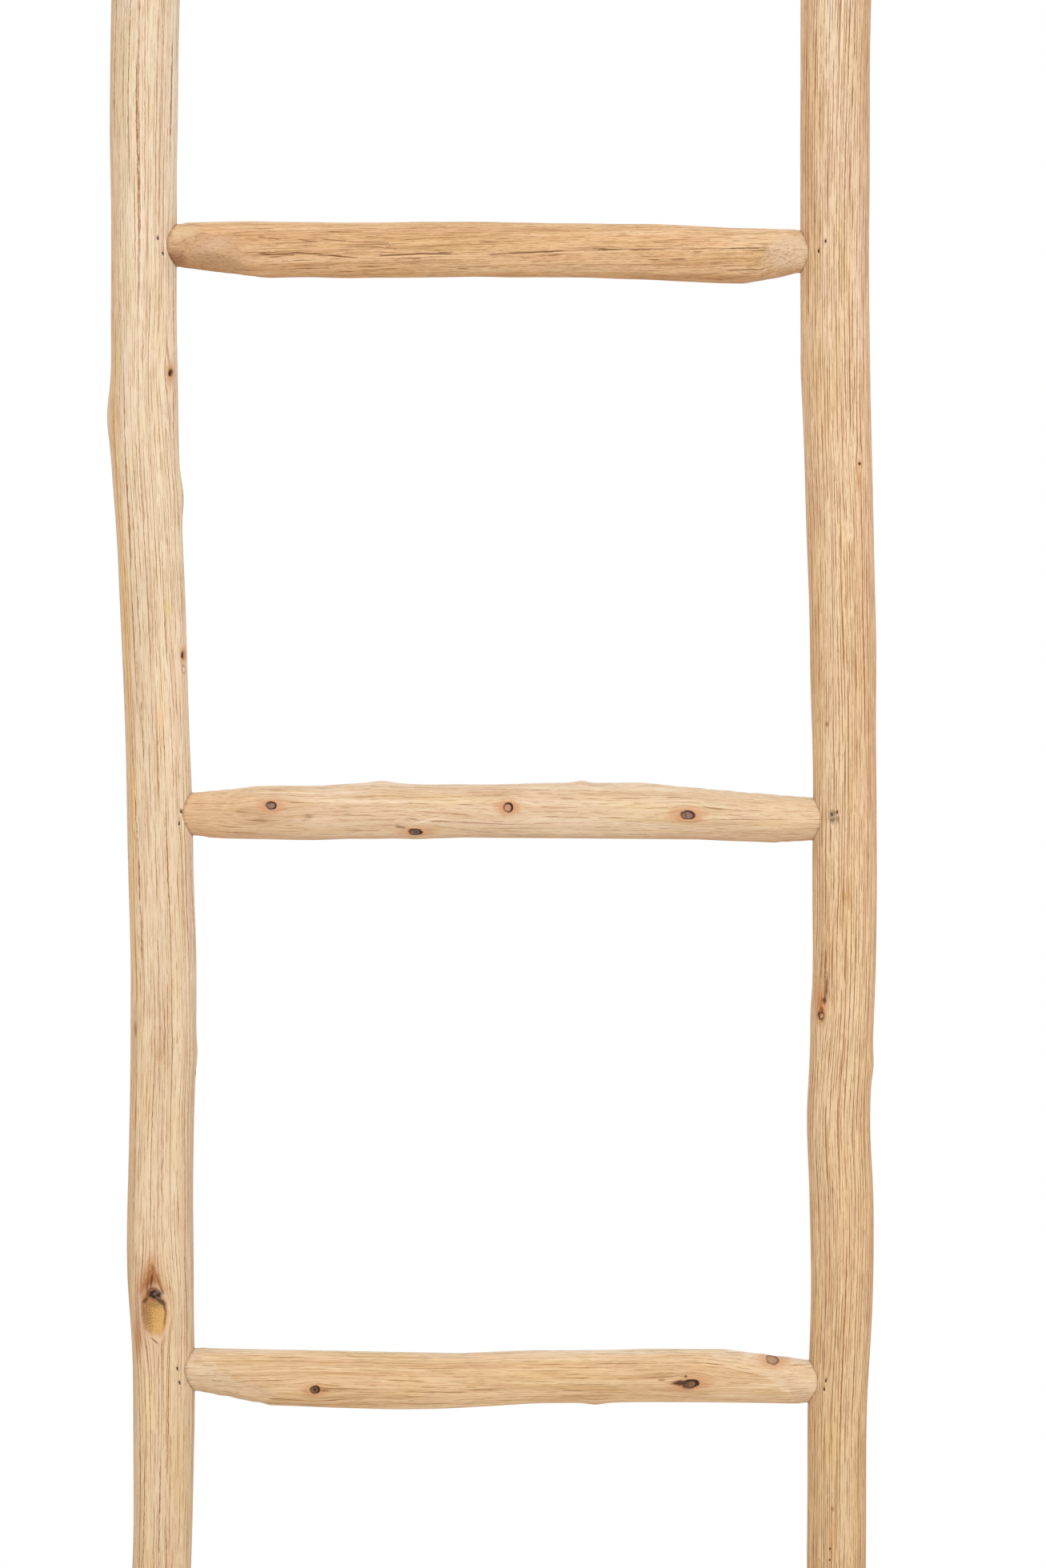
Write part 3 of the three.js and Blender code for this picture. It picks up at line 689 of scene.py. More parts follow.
# Cuts a stick's skin into lengths and lays them side by side, for the finish to be baked on
def layMap(mesh, points, strips, margin=0.006):
    columns = points.shape[1]
    steps = np.linalg.norm(np.diff(points, axis=0), axis=2).mean(1)
    endSteps = [np.linalg.norm(points[i] - points[i].mean(0), axis=1).mean() for i in (0, -1)]
    lengths = np.cumsum(np.concatenate([[0, endSteps[0]], steps, [endSteps[1]]]))
    middles = (lengths[1:] + lengths[:-1]) / 2
    strip = np.minimum((middles / lengths[-1] * strips).astype(int), strips - 1)
    starts = np.array([lengths[:-1][strip == i].min() for i in range(strips)])
    stops = np.array([lengths[1:][strip == i].max() for i in range(strips)])

    def inset(share):
        return margin + share * (1 - 2 * margin)

    spans = (stops - starts)[strip]
    low, high = [inset((part - starts[strip]) / spans) for part in (lengths[:-1], lengths[1:])]
    left, right = [(strip[:, None] + inset((np.arange(columns) + on) / columns)) / strips for on in (0, 1)]
    lows, highs = np.broadcast_to(low[:, None], left.shape), np.broadcast_to(high[:, None], left.shape)
    quads = np.stack([left, lows, right, lows, right, highs, left, highs], -1)[1:-1]
    middle = (left + right) / 2
    foot = np.stack([middle[0], lows[0], right[0], highs[0], left[0], highs[0]], -1)
    top = np.stack([middle[-1], highs[-1], left[-1], lows[-1], right[-1], lows[-1]], -1)
    places = np.concatenate([quads.ravel(), foot.ravel(), top.ravel()]).astype(np.float32)
    mesh.uv_layers.new(name="OFBake").uv.foreach_set("vector", places)


# Closes a stick's rows at both sawn ends with rings that shrink onto a middle, and dresses it in its wood
def dress(stick, points, middles, shrink, fields, strips, finish):
    count, shares = len(shrink), np.array(shrink)[:, None, None]
    foot = middles[0] + (points[0] - middles[0]) * shares
    top = middles[1] + (points[-1] - middles[1]) * shares[::-1]
    points = np.concatenate([foot, points, top])
    along, bearing, depth, hewn, pit, toneAndShade = [
        np.pad(field, ((count, count),) + ((0, 0),) * (field.ndim - 1), "edge") for field in fields]
    sawn = np.zeros(along.shape)
    sawn[:count + 1], sawn[-count - 1:] = 1, 1
    attributes = markAttributes(stick, along, bearing, depth)
    attributes["tint"] *= toneAndShade
    if stick["lying"]:
        flat, points = points[..., :2], stick["joints"][0]["mouth"] + points @ stick["basis"]
    else:
        flat = points[..., :2] - np.stack(railPath(stick, along)[:2], -1)
    attributes["grain"][sawn > 0, :2] = flat[sawn > 0]
    attributes["face"] = np.stack([arcAt(stick, bearing), along, hewn], -1)
    attributes["sawn"], attributes["pit"] = sawn, pit
    points = points + np.array([*ladder["origin"], 0])
    piece = makeSkin(stick["node"] + ".bark_free", points, attributes, strips)
    piece.data.materials.append(makeWood(finish, stick["patches"]))
    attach(piece, "root")
    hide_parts(stick["node"])
    print(stick["node"], "has", len(piece.data.polygons), "faces")


# The ladder's own sizes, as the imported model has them
ladder = {"height": 1800, "railSpacing": 444, "rungPitch": 365, "lowestRung": 170, "origin": (0.04, -0.38)}
joints = {"tenon": 14, "gap": 0.3, "backWall": 12, "taper": 62, "shoulder": 2.5, "rungTilt": 5}
socketRadius = joints["tenon"] + joints["gap"]
railShape = {"diameter": 42, "sway": 8, "taper": 4, "ovality": 0.015, "sawnEdge": 2,
             "uneven": [(0.18, 3, 130), (0.1, 9, 90)]}    # each its height, its lobes and its pitch
rungShape = {"diameter": 35, "sway": 5, "swell": 2, "ovality": 0.02, "tenonEdge": 1.5, "leastLean": 0.05,
             "uneven": [(0.2, 3, 90), (0.08, 9, 60)], "facetTone": 0.05, "facetHue": (1, 1.1, 1.3),
             "hewnMarks": {"height": 0.16, "lobes": 7, "pitch": 16, "clear": 12, "blend": 0.2, "deepest": 9}}

# The brads' holes, the painted shade in the sockets, on their rims and at the rungs' ends, and how the skins'
# points are spaced
bradHole = {"halfWidth": 0.68, "halfHeight": 1.2, "shrink": (0.72, 0.85), "wall": 0.08, "depth": 1.7,
            "lean": 14, "inFront": 4, "tries": 200}
socketShadeAndRim = {"inside": 0.8, "rim": 0.2, "ragged": (0.12, 0.1, 0.06), "contactShade": 0.3, "contactShadeReach": 0.7,
              "contactShadeHue": (1, 1.15, 1.3)}
railGrid = {"columns": 112, "mouthSteps": 14, "mouthSurround": 25, "crowding": 0.38, "step": 2.7,
            "fineStep": 1.35, "fineReach": 1.6, "samples": 600, "searchRows": 28, "footRows": [0, 0.5, 1, 1.5],
            "floorRings": 8, "wallShares": [1, 0.75, 0.5, 0.25, 0.08, 0.02],
            "caps": [0.06, 0.16, 0.28, 0.42, 0.56, 0.7, 0.82, 0.92, 0.97]}
rungGrid = {"columns": 108, "step": 1.35, "hewnStep": 1.0, "firstRow": 0.4, "pastTaper": 6,
            "plugRows": [0.6, 2, 4, 6.5, 9, 12, 16, 20], "caps": [0.1, 0.3, 0.55, 0.8]}

# A stick's bends are rows of a share of its length, how far it strays there either way, and its girth. Its
# knots are rows of a share, a bearing, and the swelling's height and reach, then half sizes if it isn't drawn
# elsewhere. Its strands are rows of their count round it, their stray, waver and thickness, how far across and
# along the grain they come and go, how rare they are, and their strength and colour.
leftRail = {
    "node": "left_rail", "slot": "pale_wood", "side": -1, "seed": 3, "twist": 0.0002,
    "bends": [
        (0, 0.6, 0, -1.1), (0.14, 0.45, 0.4, -0.9), (0.25, 1.05, -0.1, -0.85), (0.3, 1.1, -0.3, -0.35),
        (0.335, 0.85, -0.3, 0.2), (0.385, 0.9, -0.1, 0.05), (0.415, 1.1, 0, 0.15), (0.485, 0.85, 0.2, 0.15),
        (0.54, 0.5, 0.1, -0.05), (0.6, -0.05, -0.3, 0.3), (0.632, -0.4, -0.4, 0.45), (0.695, -0.5, -0.2, 0.15),
        (0.765, -0.5, 0.3, 0.55), (0.835, -0.2, 0.4, 0.75), (0.92, -0.55, -0.2, 0.9), (1, -0.1, 0, 1.1),
    ],
    "knots": [
        (0.095, 140, 0.8, 0.9, 6, 9), (0.2, 90, 0.7, 0.8, 8, 11), (0.33, 270, 0.8, 1.1), (0.413, 0, 0.35, 0.5),
        (0.53, 120, 0.8, 0.9, 7, 9), (0.614, 0, 0.8, 0.65), (0.643, 180, 1, 0.95), (0.79, 70, 0.7, 0.9, 6, 8),
        (0.865, 235, 0.6, 0.8, 5, 7),
    ],
    "knotsSeen": [
        seen(213, 466, 3, 6, heart=-1, ring=0, halo=0.6, flow=2),
        seen(228, 819, 2, 5, heart=-1, ring=0, halo=0.6, flow=2),
        seen(193, 1634, 13, 30, heart=-1, ring=0, halo=0, flow=1.1, rise=0, hollow=0),
    ],
    "lumps": [
        seen(193, 1645, 24, 46, rise=0.9),
        seen(195, 1643, 12, 23, rise=-1.5, edge=4),
        seen(194, 1619, 7, 8, rise=-1.2, edge=4),
        # The wood stands a little proud over the points of the brads that come nearest to the back
        unseen(0.0918, 58.4, 15, 28, rise=1.6, coarse=True),
        unseen(0.5, 50.7, 15, 28, rise=1.2, coarse=True),
    ],
    "cracks": [
        {"through": [(192, 1612), (190.5, 1598), (192, 1584)], "width": 2.4, "dark": 0.9, "fade": 3},
    ],
    "stains": [
        seen(172, 1432, 7, 6, tint=(1.06, 1.07, 1.1)),
        seen(184, 1608, 14, 26, tint=(0.9, 0.8, 0.72)),
        seen(174, 1675, 7, 30, tint=(0.96, 0.9, 0.86)),
        # Painted shade: a darker, warmer band all along the left side
        unseen(0.5, 184, 19, 2600, tint=(0.95, 0.89, 0.83)),
        unseen(0.57, 214, 6, 560, tint=(1.01, 0.94, 0.82)),
        # Painted shade: grey bands along the right side
        unseen(0.5, 350, 16, 2600, tint=(0.97, 0.965, 0.96)),
        unseen(0.2, 345, 16, 1200, tint=(0.97, 0.975, 0.985)),
        unseen(0.28, 240, 10, 900, tint=(1.035, 1.03, 1.025)),
        unseen(0.75, 335, 13, 170, tint=(1, 1.035, 1.06)),
        unseen(0.75, 195, 13, 170, tint=(0.955, 0.94, 0.91)),
    ],
    "tones": [(0, (0.9, 0.87, 0.81)), (0.25, (0.935, 0.91, 0.86)), (0.43, (0.975, 0.965, 0.945)),
              (0.55, (1, 1, 0.99)), (0.76, (1, 1.01, 1.02)), (1, (1, 1.02, 1.05))],
    "patches": [
        spot(209, 760, 5, 17, (234, 200, 138), 0.7, 0.55, pointed=1),
        spot(199, 897, 6, 16, (240, 192, 142), 0.8, 0.55, pointed=1),
        spot(212.5, 467, 4.6, 12, (206, 148, 98), 1, 0.75, pointed=0.4),
        spot(213.2, 465.6, 2.4, 5, (98, 52, 16), 0.6, lean=-16, wander=1),
        spot(212, 467.5, 1.5, 3.4, (64, 28, 4), 0.6, lean=-36, wander=1.2),
        spot(209.5, 441, 1.3, 14, (182, 126, 96), 0.7, 0.7, lean=8),
        spot(230, 817, 3, 8, (216, 142, 92), 0.9, 0.8),
        spot(227.8, 819, 1.9, 5, (66, 34, 16), 0.5, lean=6, wander=1.1),
        spot(229.5, 837, 2, 5, (176, 124, 84), 0.8, 0.6, ring=0.3),
        spot(193, 1630, 22, 54, (222, 176, 136), 0.8, 0.5, pointed=0.8),
        spot(190, 1612, 15, 35, (204, 150, 100), 0.9, 0.8, pointed=1.3, wander=0.8),
        spot(191, 1600, 5, 23, (176, 118, 66), 0.9, 0.7, pointed=1, wander=0.9),
        spot(183.5, 1611, 5, 12, (190, 130, 74), 0.9, 0.7, lean=-20, speckled=0.5),
        spot(192.5, 1629, 15, 44, (140, 90, 56), 1, 0.4, pointed=0.9, ring=0.05, wander=0.7),
        spot(192.5, 1641, 19, 34, (242, 208, 182), 0.9, 0.65, pointed=0.2, ring=0.11, wander=0.25),
        spot(189.5, 1601, 1.2, 8, (104, 58, 34), 0.5, 0.85, lean=-8),
        spot(184.5, 1607, 1.3, 6, (132, 80, 46), 0.6, 0.7, lean=-14),
        spot(197.5, 1600, 1, 8, (140, 88, 54), 0.6, 0.7, lean=14),
        spot(202.5, 1612, 1.2, 6, (122, 72, 46), 0.6, 0.7, lean=24),
        spot(193, 1644, 13.5, 22, (204, 154, 94), 0.4, pointed=-0.1, wander=0.5),
        spot(195, 1660, 6, 9, (216, 166, 104), 0.6),
        spot(197, 1646, 9, 17, (242, 194, 112), 0.8, 0.8),
        spot(193, 1644, 13, 20, (252, 216, 148), 0.6, 0.6, speckled=-1),
        spot(190, 1643, 11, 20, (154, 98, 46), 0.7, 0.6, speckled=1),
        spot(184, 1645, 5, 18, (132, 90, 54), 0.8, 0.6, lean=4, speckled=0.6),
        spot(194, 1630, 9, 4, (150, 124, 84), 0.8, 0.7, speckled=0.5),
        spot(193, 1618, 8, 7, (54, 34, 28), 0.5, wander=1.2, dip=0.6),
        spot(201, 1626, 7, 3, (84, 50, 36), 0.5, 0.85, lean=-38),
        spot(182, 1625, 4, 2.4, (92, 56, 38), 0.5, 0.8, lean=40),
        spot(195, 1616, 5, 2, (184, 158, 148), 0.25, 0.7, lean=30, speckled=-1),
        spot(198, 1622, 4, 1.4, (178, 150, 136), 0.25, 0.6, lean=-30, speckled=-1),
        spot(190, 1612, 3, 1.2, (190, 150, 128), 0.25, 0.5, lean=20),
        spot(205.6, 1634, 1.5, 7, (112, 62, 38), 0.8, 0.8, lean=12, wander=1.1),
        spot(206.2, 1648, 1.3, 10, (126, 72, 44), 0.9, 0.7, lean=-8, wander=1.1),
        spot(179.5, 1641, 1.3, 14, (150, 98, 62), 1, 0.5, wander=0.9),
        spot(171.5, 1664, 4.5, 25, (204, 150, 106), 0.8, 0.65),
        spot(194, 1674, 6, 7, (240, 206, 178), 0.7, 0.75),
        spot(193.5, 1676, 5.5, 1.1, (138, 98, 70), 0.5, 0.8, lean=-42),
        spot(200, 1320, 6, 8, (196, 146, 100), 0.7, 0.6, speckled=0.8),
        spot(169, 1287, 1.5, 9, (148, 98, 58), 0.6, 0.7, lean=6),
        spot(203, 1455, 1.1, 9, (150, 104, 66), 0.6, 0.6, lean=-6),
        spot(245, 1342, 2.2, 3, (124, 82, 50), 0.6, 0.7),
    ],
    "finish": {
        "name": "pale peeled wood", "dark": (208, 177, 140), "mid": (239, 214, 183), "pale": (252, 235, 210),
        "broad": 0.5, "streak": 0.6, "fine": 0.6, "fibre": 0.35, "streakWidth": 3.2,
        "strands": [
            (31, 4, 0.35, 0.09, 2, 120, -0.03, 0.9, (160, 98, 46)),
            (53, 5, 0.45, 0.13, 1.2, 60, -0.03, 0.8, (174, 114, 62)),
            (97, 7, 0.6, 0.2, 1.2, 13, -0.02, 0.6, (188, 132, 82)),
        ],
        "hue": 0.65,
        "hewnDark": (196, 160, 120), "hewnMid": (226, 196, 160), "hewnPale": (244, 224, 196),
        "halo": (206, 158, 112), "core": (158, 116, 88), "heart": (66, 40, 28), "crackColor": (104, 68, 42),
        "roughness": 0.66,
    },
}

rightRail = {
    "node": "right_rail", "slot": "tan_wood", "side": 1, "seed": 8, "twist": -0.0003,
    "bends": [
        (0, 0.5, -0.2, -1), (0.11, 0.05, 0.3, -0.9), (0.235, 0.25, 0.4, -0.9), (0.28, 0.3, 0.2, -0.85),
        (0.335, 0.7, 0, -0.4), (0.36, 0.65, -0.1, -0.1), (0.388, 0.4, -0.2, -0.1), (0.41, 0.6, -0.2, -0.4),
        (0.445, 0.85, -0.3, -0.2), (0.5, 0.9, -0.2, -0.1), (0.585, 0.65, 0.1, 0.3), (0.655, 0.2, 0.3, 0.7),
        (0.715, 0.1, 0.2, 0.7), (0.795, 0.2, -0.2, 0.95), (0.89, 0.55, -0.3, 1), (1, 0, 0.1, 1.2),
    ],
    "knots": [
        (0.07, 120, 0.7, 0.9, 7, 9), (0.17, 20, 0.8, 0.8, 6, 8), (0.345, 90, 0.8, 0.9, 7, 10),
         (0.409, 0, 0.4, 0.5),
        (0.428, 160, 0.4, 0.7), (0.56, 60, 0.7, 0.8, 6, 8), (0.66, 140, 0.6, 0.8, 6, 7),
         (0.84, 210, 0.8, 0.9, 5, 7),
        (0.945, 290, 0.6, 0.8, 6, 8),
    ],
    "knotsSeen": [
        seen(1074, 579.6, 1.8, 2.4, heart=-1, ring=0, halo=0.5, flow=2),
        seen(1026.5, 1270, 3.6, 4.8, heart=-1, ring=0, halo=0.4, flow=1.8),
    ],
    "lumps": [
        seen(1030, 1255, 10, 30, rise=0.5),
        unseen(0.0913, 123.3, 15, 28, rise=1.2, coarse=True),
    ],
    "cracks": [
        {"through": [(1075, 548), (1074.5, 574)], "width": 1.6, "dark": 0.5, "fade": 6},
        {"through": [(1054, 1350), (1055, 1366)], "width": 2, "dark": 0.6, "fade": 5},
    ],
    "stains": [
        seen(1026, 1256, 5, 14, tint=(0.98, 0.84, 0.7)),
        seen(1034, 1190, 8, 50, tint=(0.97, 0.93, 0.88)),
        seen(1056, 1120, 6, 8, tint=(0.95, 0.88, 0.78)),
        # Painted shade: darker bands all along both sides, and at both edges near the top
        unseen(0.5, 186, 24, 2600, tint=(0.99, 0.95, 0.91)),
        unseen(0.5, 356, 26, 2600, tint=(0.96, 0.92, 0.89)),
        seen(1009, 110, 9, 260, tint=(0.965, 0.92, 0.85)),
        seen(1082, 100, 9, 260, tint=(0.94, 0.9, 0.87)),
    ],
    "tones": [(0, (0.89, 0.86, 0.78)), (0.25, (0.925, 0.9, 0.83)), (0.4, (0.965, 0.945, 0.9)),
     (0.55, (0.965, 0.935, 0.89)),
              (0.64, (0.995, 0.985, 0.97)), (0.76, (0.995, 1.005, 1.015)), (1, (0.99, 1.01, 1.03))],
    "patches": [
        spot(1040, 1021, 4.5, 9, (168, 150, 118), 0.3, 0.75),
        spot(1040, 1024.5, 1.6, 1.6, (108, 96, 80), 0.5, 0.8, ring=0.5),
        spot(1047, 1024, 1.5, 5, (138, 96, 62), 0.6, 0.7),
        spot(1073.6, 579.6, 1.8, 2, (72, 36, 14), 0.5),
        spot(1073, 600, 3, 18, (204, 146, 92), 0.9, 0.6, pointed=0.6),
        spot(1033, 905, 2, 3, (150, 100, 62), 0.7, 0.7),
        spot(1025, 1246, 8, 25, (204, 144, 100), 0.9, 0.5, pointed=0.3),
        spot(1026.5, 1203, 0.9, 22, (138, 88, 46), 0.8, 0.7, wander=1.4),
        spot(1031.5, 1204, 1, 20, (126, 78, 40), 0.8, 0.8, wander=1.4),
        # Painted shadow along the right side of the lump
        spot(1032.6, 1234, 1.7, 14, (118, 72, 40), 0.8, 0.85, lean=-3, wander=1.3),
        spot(1030.4, 1251, 2.4, 4, (92, 52, 28), 0.7, 0.9, lean=20, wander=1.2),
        spot(1027.5, 1262, 1.8, 3.4, (104, 62, 36), 0.8, 0.8, lean=24),
        spot(1026.4, 1269.8, 3, 4, (96, 58, 36), 0.9, 0.9, ring=0.3, wander=1),
        spot(1023.2, 1268, 1.2, 4, (92, 54, 32), 0.8, 0.8, lean=-10),
        spot(1028, 1275, 1.4, 2.6, (100, 62, 36), 0.9, 0.6, lean=-24),
        spot(1040, 1886, 1.8, 4, (164, 102, 60), 0.9, 0.8),
        spot(1040, 1920, 3, 26, (218, 168, 106), 0.9, 0.5, pointed=0.5),
        spot(1037, 1936, 1.2, 1.6, (84, 44, 18), 0.6),
        spot(1036.6, 1950, 1.1, 1.5, (90, 50, 22), 0.6),
    ],
    "finish": {
        "name": "tan peeled wood", "dark": (206, 163, 118), "mid": (244, 212, 175), "pale": (252, 232, 203),
        "broad": 0.5, "streak": 0.65, "fine": 0.75, "fibre": 0.5, "streakWidth": 2.4,
        "strands": [
            (45, 3, 0.2, 0.13, 1.4, 90, -0.02, 0.85, (140, 82, 36)),
            (76, 5, 0.3, 0.2, 0.9, 40, -0.06, 0.85, (156, 98, 50)),
            (121, 8, 0.7, 0.25, 0.9, 9, 0, 0.6, (168, 114, 64)),
        ],
        "hue": 0.6,
        "hewnDark": (186, 144, 102), "hewnMid": (218, 182, 140), "hewnPale": (240, 212, 176),
        "halo": (200, 148, 100), "core": (150, 104, 70), "heart": (70, 42, 26), "crackColor": (104, 66, 38),
        "roughness": 0.66,
    },
}


# Where a rail's axis runs and how thick it is, at a height above the floor
def railPath(rail, height):
    sideways, depthways, girth = rail["follow"](np.asarray(height) / ladder["height"])
    x = rail["side"] * ladder["railSpacing"] / 2 + sideways * railShape["sway"]
    return x, depthways * railShape["sway"], (railShape["diameter"] + girth * railShape["taper"]) / 2


# How far a rail's face lies from its axis: oval, swollen over its knots, uneven, eased at its sawn ends
def railReach(rail, height, bearing, marked=True):
    sawnEdge = railShape["sawnEdge"]
    cutBack = np.maximum(0, np.maximum(sawnEdge - height, sawnEdge - (ladder["height"] - height)))
    reach = railPath(rail, height)[2] * (1 + railShape["ovality"] * np.sin(2 * bearing))
    reach = reach + swollen(rail, railShape, height, bearing) - cutBack
    return reach + markRelief(rail, height, bearing) if marked else reach


def railFace(rail, height, bearing):
    x, y, _ = railPath(rail, height)
    reach = railReach(rail, height, bearing)
    x, y = x + reach * np.cos(bearing), y + reach * np.sin(bearing)
    return np.stack([x, y, np.broadcast_to(height, reach.shape)], -1)


# How far a point of the face turns from a bearing when it stands so far aside of the rail's axis,
# short of a quarter turn
def turnTo(aside, radius):
    return np.arcsin(np.clip(aside / radius, -0.98, 0.98))


# One end of a rung: the rail that holds it, where its mouth is, and how deep its tenon stands
def jointOn(rail, end, height):
    x, y, radius = [float(value) for value in railPath(rail, height)]
    depth = 2 * radius - joints["backWall"] - joints["gap"]
    mouth = np.array([x - rail["side"] * radius, y, height])
    return {"mouth": mouth, "radius": radius, "depth": depth, "brads": end["brads"]}


# Heights of a rail's rows: a set for each mouth, and even steps between them that close up over what shows
def railRows(rail):
    steps = railGrid["mouthSteps"]
    inner = socketRadius * np.arange(steps + 1) / steps
    outer = socketRadius + railGrid["mouthSurround"] * surroundShare(np.arange(1, steps + 1) / steps)
    half = np.concatenate([inner, outer])
    offsets = np.concatenate([-half[:0:-1], half])
    foot = railGrid["footRows"]
    last = railShape["sawnEdge"]
    rows, centres = [foot], []
    for joint in rail["joints"]:
        height = joint["mouth"][2]
        rows += [[last], rowsBetween(rail, last, height + offsets[0])]
        centres.append(sum(len(part) for part in rows) + 2 * steps)
        rows.append(height + offsets[:-1])
        last = height + offsets[-1]
    top = ladder["height"] - railShape["sawnEdge"]
    rows += [[last], rowsBetween(rail, last, top), [top], [ladder["height"] - rise for rise in foot[::-1]]]
    return np.concatenate(rows), centres


# The rows round a mouth lie closer together near its rim
def surroundShare(share):
    return (1 - railGrid["crowding"]) * share + railGrid["crowding"] * share**2


def rowsBetween(rail, start, end):
    samples = np.linspace(start, end, railGrid["samples"])
    density = np.full(samples.shape, 1 / railGrid["step"])
    for mark in rail["knotsSeen"] + [lump for lump in rail["lumps"] if not lump.get("coarse")]:
        near = np.exp(-(((samples - mark["along"]) / (railGrid["fineReach"] * mark["tall"])) ** 4))
        density = np.maximum(density, near / railGrid["fineStep"])
    total = np.concatenate([[0], np.cumsum((density[1:] + density[:-1]) / 2 * np.diff(samples))])
    return np.interp(np.linspace(0, total[-1], math.ceil(total[-1]) + 1)[1:-1], total, samples)


# Bends the rows and columns round a mouth into circles, so that the socket's rim is round and its wall real.
# Returns where the inner points lie in three dimensions, and which points form the rim.
def ringMouth(rail, joint, centre, height, bearing):
    steps, columns, mouth = railGrid["mouthSteps"], railGrid["columns"], joint["mouth"]
    facing = -rail["side"]
    base = 0 if facing > 0 else math.pi
    across, up = np.meshgrid(np.arange(-2 * steps, 2 * steps + 1), np.arange(-2 * steps, 2 * steps + 1))
    column = (across + (0 if facing > 0 else columns // 2)) % columns
    row = centre + up
    wide = np.abs(across) >= np.abs(up)
    safeAcross, safeUp = np.where(across == 0, 1, across), np.where(up == 0, 1, up)
    angle = np.where(wide, math.pi / 4 * up / safeAcross, math.pi / 2 - math.pi / 4 * across / safeUp)
    sign = np.where(wide, np.sign(across), np.sign(up))
    reach = np.maximum(np.abs(across), np.abs(up)) / steps
    direction = np.arctan2(sign * np.sin(angle), sign * np.cos(angle))
    # The rim: the rail's face where it is this far from the drill's axis
    wider, broad, narrow = socketShadeAndRim["ragged"]
    ragged = wider + broad * np.cos(3 * direction + rail["seed"]) + narrow * np.cos(7 * direction + mouth[2])
    ragged = socketRadius + ragged
    rimHeight = mouth[2] + ragged * np.sin(direction)
    _, axisY, radius = railPath(rail, rimHeight)
    turned = turnTo(ragged * np.cos(direction), radius)
    aside = ragged * np.cos(direction) + facing * (mouth[1] - axisY)
    for _ in range(3):
        turned = turnTo(aside, railReach(rail, rimHeight, base + turned))
    # Outside the rim: evenly on to the block's edge
    safeReach = np.maximum(reach, 1e-6)
    edgeTurn = np.clip(across / safeReach * 4 * math.pi / columns, -math.pi / 2, math.pi / 2)
    edgeUp = up / safeReach * 2
    innerUp = np.clip(np.abs(edgeUp), 0, steps) / steps * socketRadius
    outerUp = railGrid["mouthSurround"] * surroundShare(np.clip(np.abs(edgeUp) - steps, 0, steps) / steps)
    edgeHeight = mouth[2] + np.sign(edgeUp) * (innerUp + outerUp)
    share = surroundShare(np.clip(reach - 1, 0, 1))
    height[row, column] = rimHeight + (edgeHeight - rimHeight) * share
    bearing[row, column] = base + turned + (edgeTurn - turned) * share
    # Inside the rim: down the socket's wall and across its floor
    inside = reach < 0.999
    rim = railFace(rail, rimHeight[inside], (base + turned)[inside]) - mouth
    inward = joint["inward"]
    depthAtRim = rim @ inward
    spoke = rim - depthAtRim[:, None] * inward
    spoke = spoke / np.linalg.norm(spoke, axis=1)[:, None]
    ring = np.round(reach[inside] * steps).astype(int)
    floorRings, wallShares = railGrid["floorRings"], railGrid["wallShares"]
    wallSteps = np.interp(ring, floorRings + np.arange(len(wallShares)), wallShares)
    sunk = depthAtRim + wallSteps * (joint["depth"] + joints["gap"] - depthAtRim)
    spread = socketRadius * np.clip(ring / floorRings, 0, 1)
    onRim = np.abs(reach - 1) < 0.001
    places = mouth + sunk[:, None] * inward + spread[:, None] * spoke
    return row[inside], column[inside], places, row[onRim], column[onRim]


# Opens a small square hole at a brad: a block of four by four points drawn to its rim and down its walls
def openHole(rail, joint, brad, centre, fields):
    height, bearing, sunk, pit, taken = fields
    x = joint["mouth"][0] + rail["side"] * brad[0] * joint["depth"]
    z = joint["mouth"][2] + brad[1] * joints["tenon"]
    reach = railGrid["searchRows"]
    nearRows = slice(centre - reach, centre + reach + 1)
    faces = railFace(rail, height[nearRows], bearing[nearRows])
    middles = (faces[1:, 1:] + faces[:-1, 1:] + faces[1:, :-1] + faces[:-1, :-1]) / 4
    distance = np.hypot(middles[..., 0] - x, middles[..., 2] - z)
    distance[middles[..., 1] > joint["mouth"][1] - bradHole["inFront"]] = far    # the rail's back doesn't count
    for index in np.argsort(distance.ravel())[:bradHole["tries"]]:
        row, column = np.unravel_index(index, distance.shape)
        rows, columns = centre - reach + row + np.arange(-1, 3), column + np.arange(-1, 3)
        if columns[0] >= 0 and columns[-1] < railGrid["columns"] and not taken[np.ix_(rows, columns)].any():
            break
    block, floor = np.ix_(rows, columns), np.ix_(rows[1:3], columns[1:3])
    taken[block] = True
    wide, tall, wall = bradHole["halfWidth"], bradHole["halfHeight"], bradHole["wall"]
    acrossHole, upHole = np.meshgrid(*[[-half, wall - half, half - wall, half] for half in (wide, tall)])
    slant = math.radians(bradHole["lean"]) * math.sin(7 * z)    # each hole leans its own way
    shrinkX, shrinkZ = bradHole["shrink"]
    holeX = x + shrinkX * acrossHole + slant * upHole
    holeZ = z + shrinkZ * upHole
    axisX, _, radius = railPath(rail, holeZ)
    turned = turnTo(holeX - axisX, radius)
    for _ in range(3):
        turned = turnTo(holeX - axisX, railReach(rail, holeZ, rail["front"] + turned))
    height[block] = holeZ
    bearing[block] = rail["front"] + turned
    sunk[floor] = bradHole["depth"]
    # The hole's floor darkens: crushed wood and painted shade
    pit[floor] = 1
    rail["bradPlaces"].append((z, float(bearing[floor].mean())))


